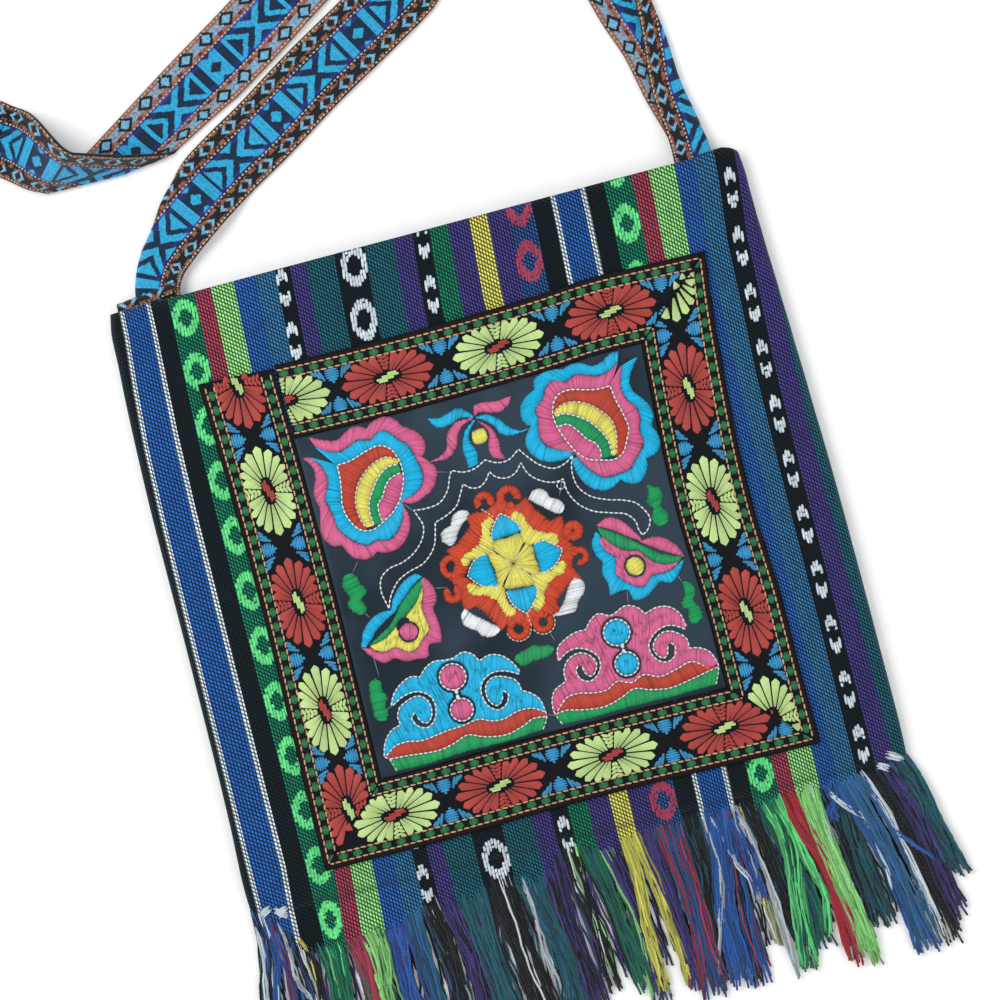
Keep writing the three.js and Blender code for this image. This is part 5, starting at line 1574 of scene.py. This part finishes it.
# Below the bottom seam the cloth goes on as a short heading, then its own warps hang free as the fringe, in
# wavy locks of the stripes' colours. The heading is deeper on the left than on the right.
STRAND_RADIUS = 0.5
STRANDS_PER_MM = 3.4
STRAND_STATIONS = 13
STRAND_REST = 0.55
HEAP_HEIGHT = 3.2
HEADING_SIDE, HEADING_LAP = 149, 0.4
FILLING_PITCH = 4.0
FILLING_DYES = ("black", "teal", "purple", "black")
FILLING_BEND, FILLING_TIPS = -172, (-211, -199)
LOCKS = [  # colours, warp where it starts, width there, path down to the tips, and level in the heap, 0 to 1
    ("black teal", -146.5, 4, [(-149.5, -152), (-153.6, -170), (-158, -204)], 0.3),
    ("navy blue navy", -142.5, 9, [(-146, -155), (-149.5, -172), (-154, -205)], 0.6),
    ("white", -146.5, 1.6, [(-148.5, -152), (-152, -172), (-156, -208)], 0.9),
    ("black " * 5 + "white", -131.5, 11, [(-135, -160), (-133, -178), (-131, -212)], 0.4),
    ("purple red", -137.5, 5, [(-140, -165), (-141, -185), (-140, -210)], 0.5),
    ("white", -134.5, 1.1, [(-137, -156), (-137, -168), (-131, -182)], 1.0),
    ("yellow black", -127.5, 3, [(-128, -165), (-129, -180), (-127, -210)], 0.5),
    ("emerald neon emerald emerald", -116, 13, [(-118, -165), (-119, -185), (-117, -214)], 0.6),
    ("red", -104.5, 8, [(-107, -165), (-106, -183), (-105, -216)], 0.8),
    ("lime lime emerald", -96, 9, [(-99, -165), (-100, -184), (-98, -216)], 0.7),
    ("blue navy purple", -86, 10, [(-90, -163), (-90, -185), (-88, -215)], 0.4),
    ("sky blue", -77.5, 9, [(-81, -163), (-79, -190), (-76, -216)], 0.8),
    ("black " * 5 + "white", -69.5, 8, [(-70, -165), (-68, -190), (-69, -214)], 0.6),
    ("purple black", -61.5, 8, [(-61, -168), (-59, -190), (-58, -212)], 0.5),
    ("teal", -50.5, 15, [(-51, -170), (-49, -195), (-48, -219)], 0.7),
    ("black white black black black", -37.5, 13, [(-38, -165), (-34, -195), (-31, -215)], 0.6),
    ("teal sky teal", -24, 13, [(-25, -162), (-20, -182), (-19, -215)], 0.6),
    ("white", -27, 1.5, [(-28, -160), (-26, -190), (-23, -206)], 1.0),
    ("purple purple black", -13, 9, [(-14, -165), (-11, -195), (-9, -216)], 0.7),
    ("white lime black black", -4.5, 8, [(-5, -160), (-2, -182), (-1, -208)], 0.5),
    ("emerald teal", 4, 9, [(5, -160), (9, -180), (13, -212)], 0.7),
    ("purple black lime", 12.5, 8, [(14, -160), (18, -190), (18, -218)], 0.5),
    ("yellow", 21, 5, [(21, -160), (20, -182), (21, -214)], 0.9),
    ("yellow", 25.5, 5, [(27, -160), (31, -188), (33, -214)], 0.8),
    ("purple red", 31, 7, [(32, -165), (35, -195), (35, -216)], 0.5),
    ("rose steel steel", 41, 12, [(41, -160), (43, -190), (43, -222)], 0.7),
    ("black black teal", 51.5, 9, [(51, -165), (49, -190), (50, -215)], 0.3),
    ("navy blue", 62.5, 11, [(60, -158), (56, -180), (55, -221)], 0.9),
    ("white", 60, 0.8, [(62.3, -154.6), (64.7, -163.3), (69.1, -173.8), (70.8, -185.8)], 1.0),
    ("white", 115, 0.8, [(116.7, -151.3), (123.4, -157), (128.6, -178.1), (131.1, -200.9)], 1.0),
    ("white", 107, 0.8, [(108.5, -165), (110.3, -181.7), (114.7, -196.8)], 0.9),
    ("white", 57.5, 1.6, [(57, -165), (52, -190), (44, -214)], 1.0),
    ("red purple black", 66, 8, [(65, -165), (64, -195), (65, -221)], 0.4),
    ("purple navy black", 70.5, 7, [(71, -158), (72, -170), (73, -186)], 0.9),
    ("white", 71.5, 2.4, [(74, -157), (77, -180), (80, -222)], 1.0),
    ("yellow yellow white", 73, 4, [(72, -160), (73, -180), (76, -210)], 0.3),
    ("black black teal", 78, 8, [(81, -165), (83, -190), (87, -210)], 0.3),
    ("emerald teal", 87, 12, [(89, -160), (92, -185), (94, -212)], 0.3),
    ("neon neon emerald", 88, 9, [(90, -158), (88, -185), (86, -220)], 0.9),
    ("neon", 91.5, 3, [(95, -168), (100, -190), (97, -207)], 1.0),
    ("scarlet", 96.5, 8, [(97, -156), (104, -178), (107, -224)], 0.9),
    ("lime", 106, 10, [(104, -154), (108, -178), (114.5, -225)], 1.0),
    ("teal teal black", 118, 14, [(117, -160), (119, -180), (122, -209)], 0.2),
    ("blue navy", 116.5, 7, [(114, -147), (112, -152), (110, -158)], 0.7),
    ("blue sky", 124, 11, [(126, -160), (132, -182), (139.5, -226)], 0.8),
    ("white sky", 130.5, 4, [(134, -156), (139, -178), (147.5, -222)], 1.0),
    ("black", 136, 9, [(139, -160), (145, -185), (152.5, -224)], 0.6),
    ("navy", 133, 2, [(136, -166), (146, -178), (157, -190)], 1.0),
    ("purple black", 143.5, 8, [(145, -155), (150, -178), (158, -214)], 0.6),
    ("teal teal black", 149.5, 13, [(150.5, -149), (154.5, -166), (161, -195)], 0.8),
]
LEAN = [(-150, -5), (-100, -1), (-50, 3), (0, 8), (40, 3), (60, -4), (80, 4), (100, 10), (125, 14),
        (150, 12)]
shared = [column for column in columns if abs(column) < HEADING_SIDE]
q = np.array([-HEADING_SIDE, *shared, HEADING_SIDE])
part = np.linspace(0, 1, 7)[:, None]
y = SEAM_Y + HEADING_LAP + part * (heading_edge(q) - SEAM_Y - HEADING_LAP)
points = wrapped(np.broadcast_to(q, y.shape), y)
heading = woven_grid("fringe_heading", points[::-1])
chart(heading.data, np.tile(q, len(part)), y[::-1].ravel())
dye_stripes(heading.data, q, len(part))
heading.data.materials.append(cotton)
thicken(heading, CLOTH_WALL)
seat(heading, "cloth")


def strand_lines(root, path, warps, level):
    """The paths of one lock's strands, each from its own warp, with its own wave, height and length."""
    strands = len(warps)
    top = heading_edge(warps) + chance.uniform(0.5, 6.0, strands)
    start = wrapped(warps, top)
    foot = wrapped(np.array(float(root)), heading_edge(root))
    line = flowing([foot[:2], *path], 60)
    share = chance.uniform(0.83, 1.0, strands)[:, None] * np.linspace(0, 1, STRAND_STATIONS)
    index = np.arange(len(line))
    middle = [np.interp(share * (len(line) - 1), index, line[:, axis]) for axis in (0, 1)]
    spread = start[:, :1] - foot[0]
    fan = 1 - 0.3 * np.sin(np.pi * share) + 0.1 * share ** 2
    phase = chance.uniform(0, 2 * np.pi, (2, strands, 1))
    wave = 0.8 * np.sin(share * 9 + phase[0]) + 0.3 * np.sin(share * 31 + phase[1])
    x = middle[0] + spread * fan + wave * smooth(share * 4)
    y = middle[1] + (start[:, 1:2] - foot[1]) * (1 - share) ** 3
    height = (0.6 + HEAP_HEIGHT * np.clip(level + chance.uniform(-0.3, 0.3, strands), 0, 1))[:, None]
    rest = height - (height - 0.7) * 0.6 * smooth((share - 0.7) * 3)
    out = start[:, 2:] - 0.5 + 0.9 * smooth(share * 12)
    z = out + (rest - out) * smooth(share * 5)
    z = z + 0.3 * np.sin(share * 14 + phase[1]) * smooth(share * 4)
    return np.stack([x, y, np.maximum(z, STRAND_REST)], axis=-1)


def strand_mesh(name, lines, colours):
    """One mesh of many round strands, four-sided and closed at their ends."""
    strands, stations = lines.shape[:2]
    ahead = unit(np.gradient(lines, axis=1))
    side = left_of(ahead) * STRAND_RADIUS
    up = np.cross(ahead, side)
    points = np.stack([lines - side, lines + up, lines + side, lines - up], axis=2)
    index = np.arange(strands * stations * 4).reshape(strands, stations, 4)
    turned = np.roll(index, -1, axis=2)
    walls = np.stack([index[:, :-1], index[:, 1:], turned[:, 1:], turned[:, :-1]], axis=-1).reshape(-1, 4)
    faces = np.concatenate([walls, index[:, 0], index[:, -1, ::-1]])
    mesh = dyed_mesh(name, points, faces, np.repeat(colours, stations * 4, axis=0))
    along = np.tile(np.repeat(np.arange(stations) * 6.0, 4), strands)
    chart(mesh, np.tile(np.arange(4) * 0.6, strands * stations), along)
    return mesh


lines, colours = [], []
for names, root, width, path, level in LOCKS:
    strands = round(width * STRANDS_PER_MM)
    warps = root + width * ((np.arange(strands) + chance.uniform(0.1, 0.9, strands)) / strands - 0.5)
    lines.append(strand_lines(root, path, warps, level))
    dyes = np.array([CLOTH[name] for name in names.split()])
    shades = dyes[chance.integers(0, len(dyes), strands)]
    own = np.array([CLOTH[warp_colour(q)] for q in warps])
    kept = (chance.random((strands, 1)) < 0.4) & (width > 4) & (level > 0.3)
    # Each strand is painted between a third and full brightness at random, as shade among the strands of the
    # heap.
    colours.append(np.where(kept, own, shades) * chance.uniform(0.34, 1.02, (strands, 1)))
for root in np.arange(FRONT_LEFT, FRONT_RIGHT, FILLING_PITCH):
    warps = root + np.linspace(-2, 2, 4)
    lean = float(np.interp(root, *np.array(LEAN, float).T))
    tip = float(chance.uniform(*FILLING_TIPS))
    path = [(root - 2 + 0.4 * lean, FILLING_BEND), (root - 2 + lean, tip)]
    lines.append(strand_lines(root, path, warps, 0))
    shades = np.array([CLOTH[name] for name in FILLING_DYES])
    # These low strands are painted at half to nine tenths brightness, as shade under the locks.
    colours.append(shades[chance.integers(0, 4, 4)] * chance.uniform(0.5, 0.9, (4, 1)))
fringe = set_out("fringe_strands", strand_mesh("fringe", np.concatenate(lines), np.concatenate(colours)))
fringe.data.materials.append(thread_finish("fringe_cotton", 0.9, 0.2, 0.8))
seat(fringe, "fringe_thread", "fringe")

# Five bar tacks of white thread hold the bottom seam's two ends, three at the left and two at the right.
# Each is a few stitches sewn side by side through both layers.
TACKS = [
    ((-145.8, -136), (-141, -133.6)), ((-139.3, -135), (-134.3, -138.8)),
    ((-138.8, -137.6), (-134.0, -134.9)), ((141.6, -133.6), (147.6, -137)),
    ((136.6, -137.2), (141.2, -140.2)),
]
TACK_STITCHES, TACK_SPREAD = 7, 1.3
TACK_RIDGE = 0.4
TACK_LIFT = np.array([0.2, 0.7, 0.8, 0.7, 0.2])
TACK_HALF = np.array([0.12, 0.26, 0.3, 0.26, 0.12])
tack_threads = []
for start, stop in TACKS:
    ends = np.array([start, stop])
    aside = np.array([ends[0, 1] - ends[1, 1], ends[1, 0] - ends[0, 0]]) / math.dist(start, stop)
    shifts = np.linspace(-TACK_SPREAD, TACK_SPREAD, TACK_STITCHES)
    flat = np.array([[end + aside * shift for end in np.linspace(*ends, 5)] for shift in shifts])
    each, every = (TACK_STITCHES, 1, 1), (TACK_STITCHES, 5, 1)
    slip = chance.uniform(-0.6, 0.6, each) + chance.uniform(-0.15, 0.15, every)
    flat += slip * (ends[1] - ends[0]) / 5
    flat += chance.uniform(-0.3, 0.3, every) * aside
    top = wrapped(flat[..., 0] + 4, flat[..., 1])[..., 2] + TACK_LIFT
    lines = np.concatenate([flat, top[..., None]], axis=2)
    across = TACK_HALF[:, None] * np.broadcast_to(-np.append(aside, 0), lines.shape)
    tint = chance.uniform(0.7, 1, each) * np.ones(every)
    tack_threads.append((lines, across, ridges(lines, TACK_RIDGE), CLOTH["white"] * tint))
tacks = thread_piece("bar_tacks", tack_threads, thread_finish("tack_cotton", 0.85, 0.2, 0.5))
seat(tacks, "fringe_thread")
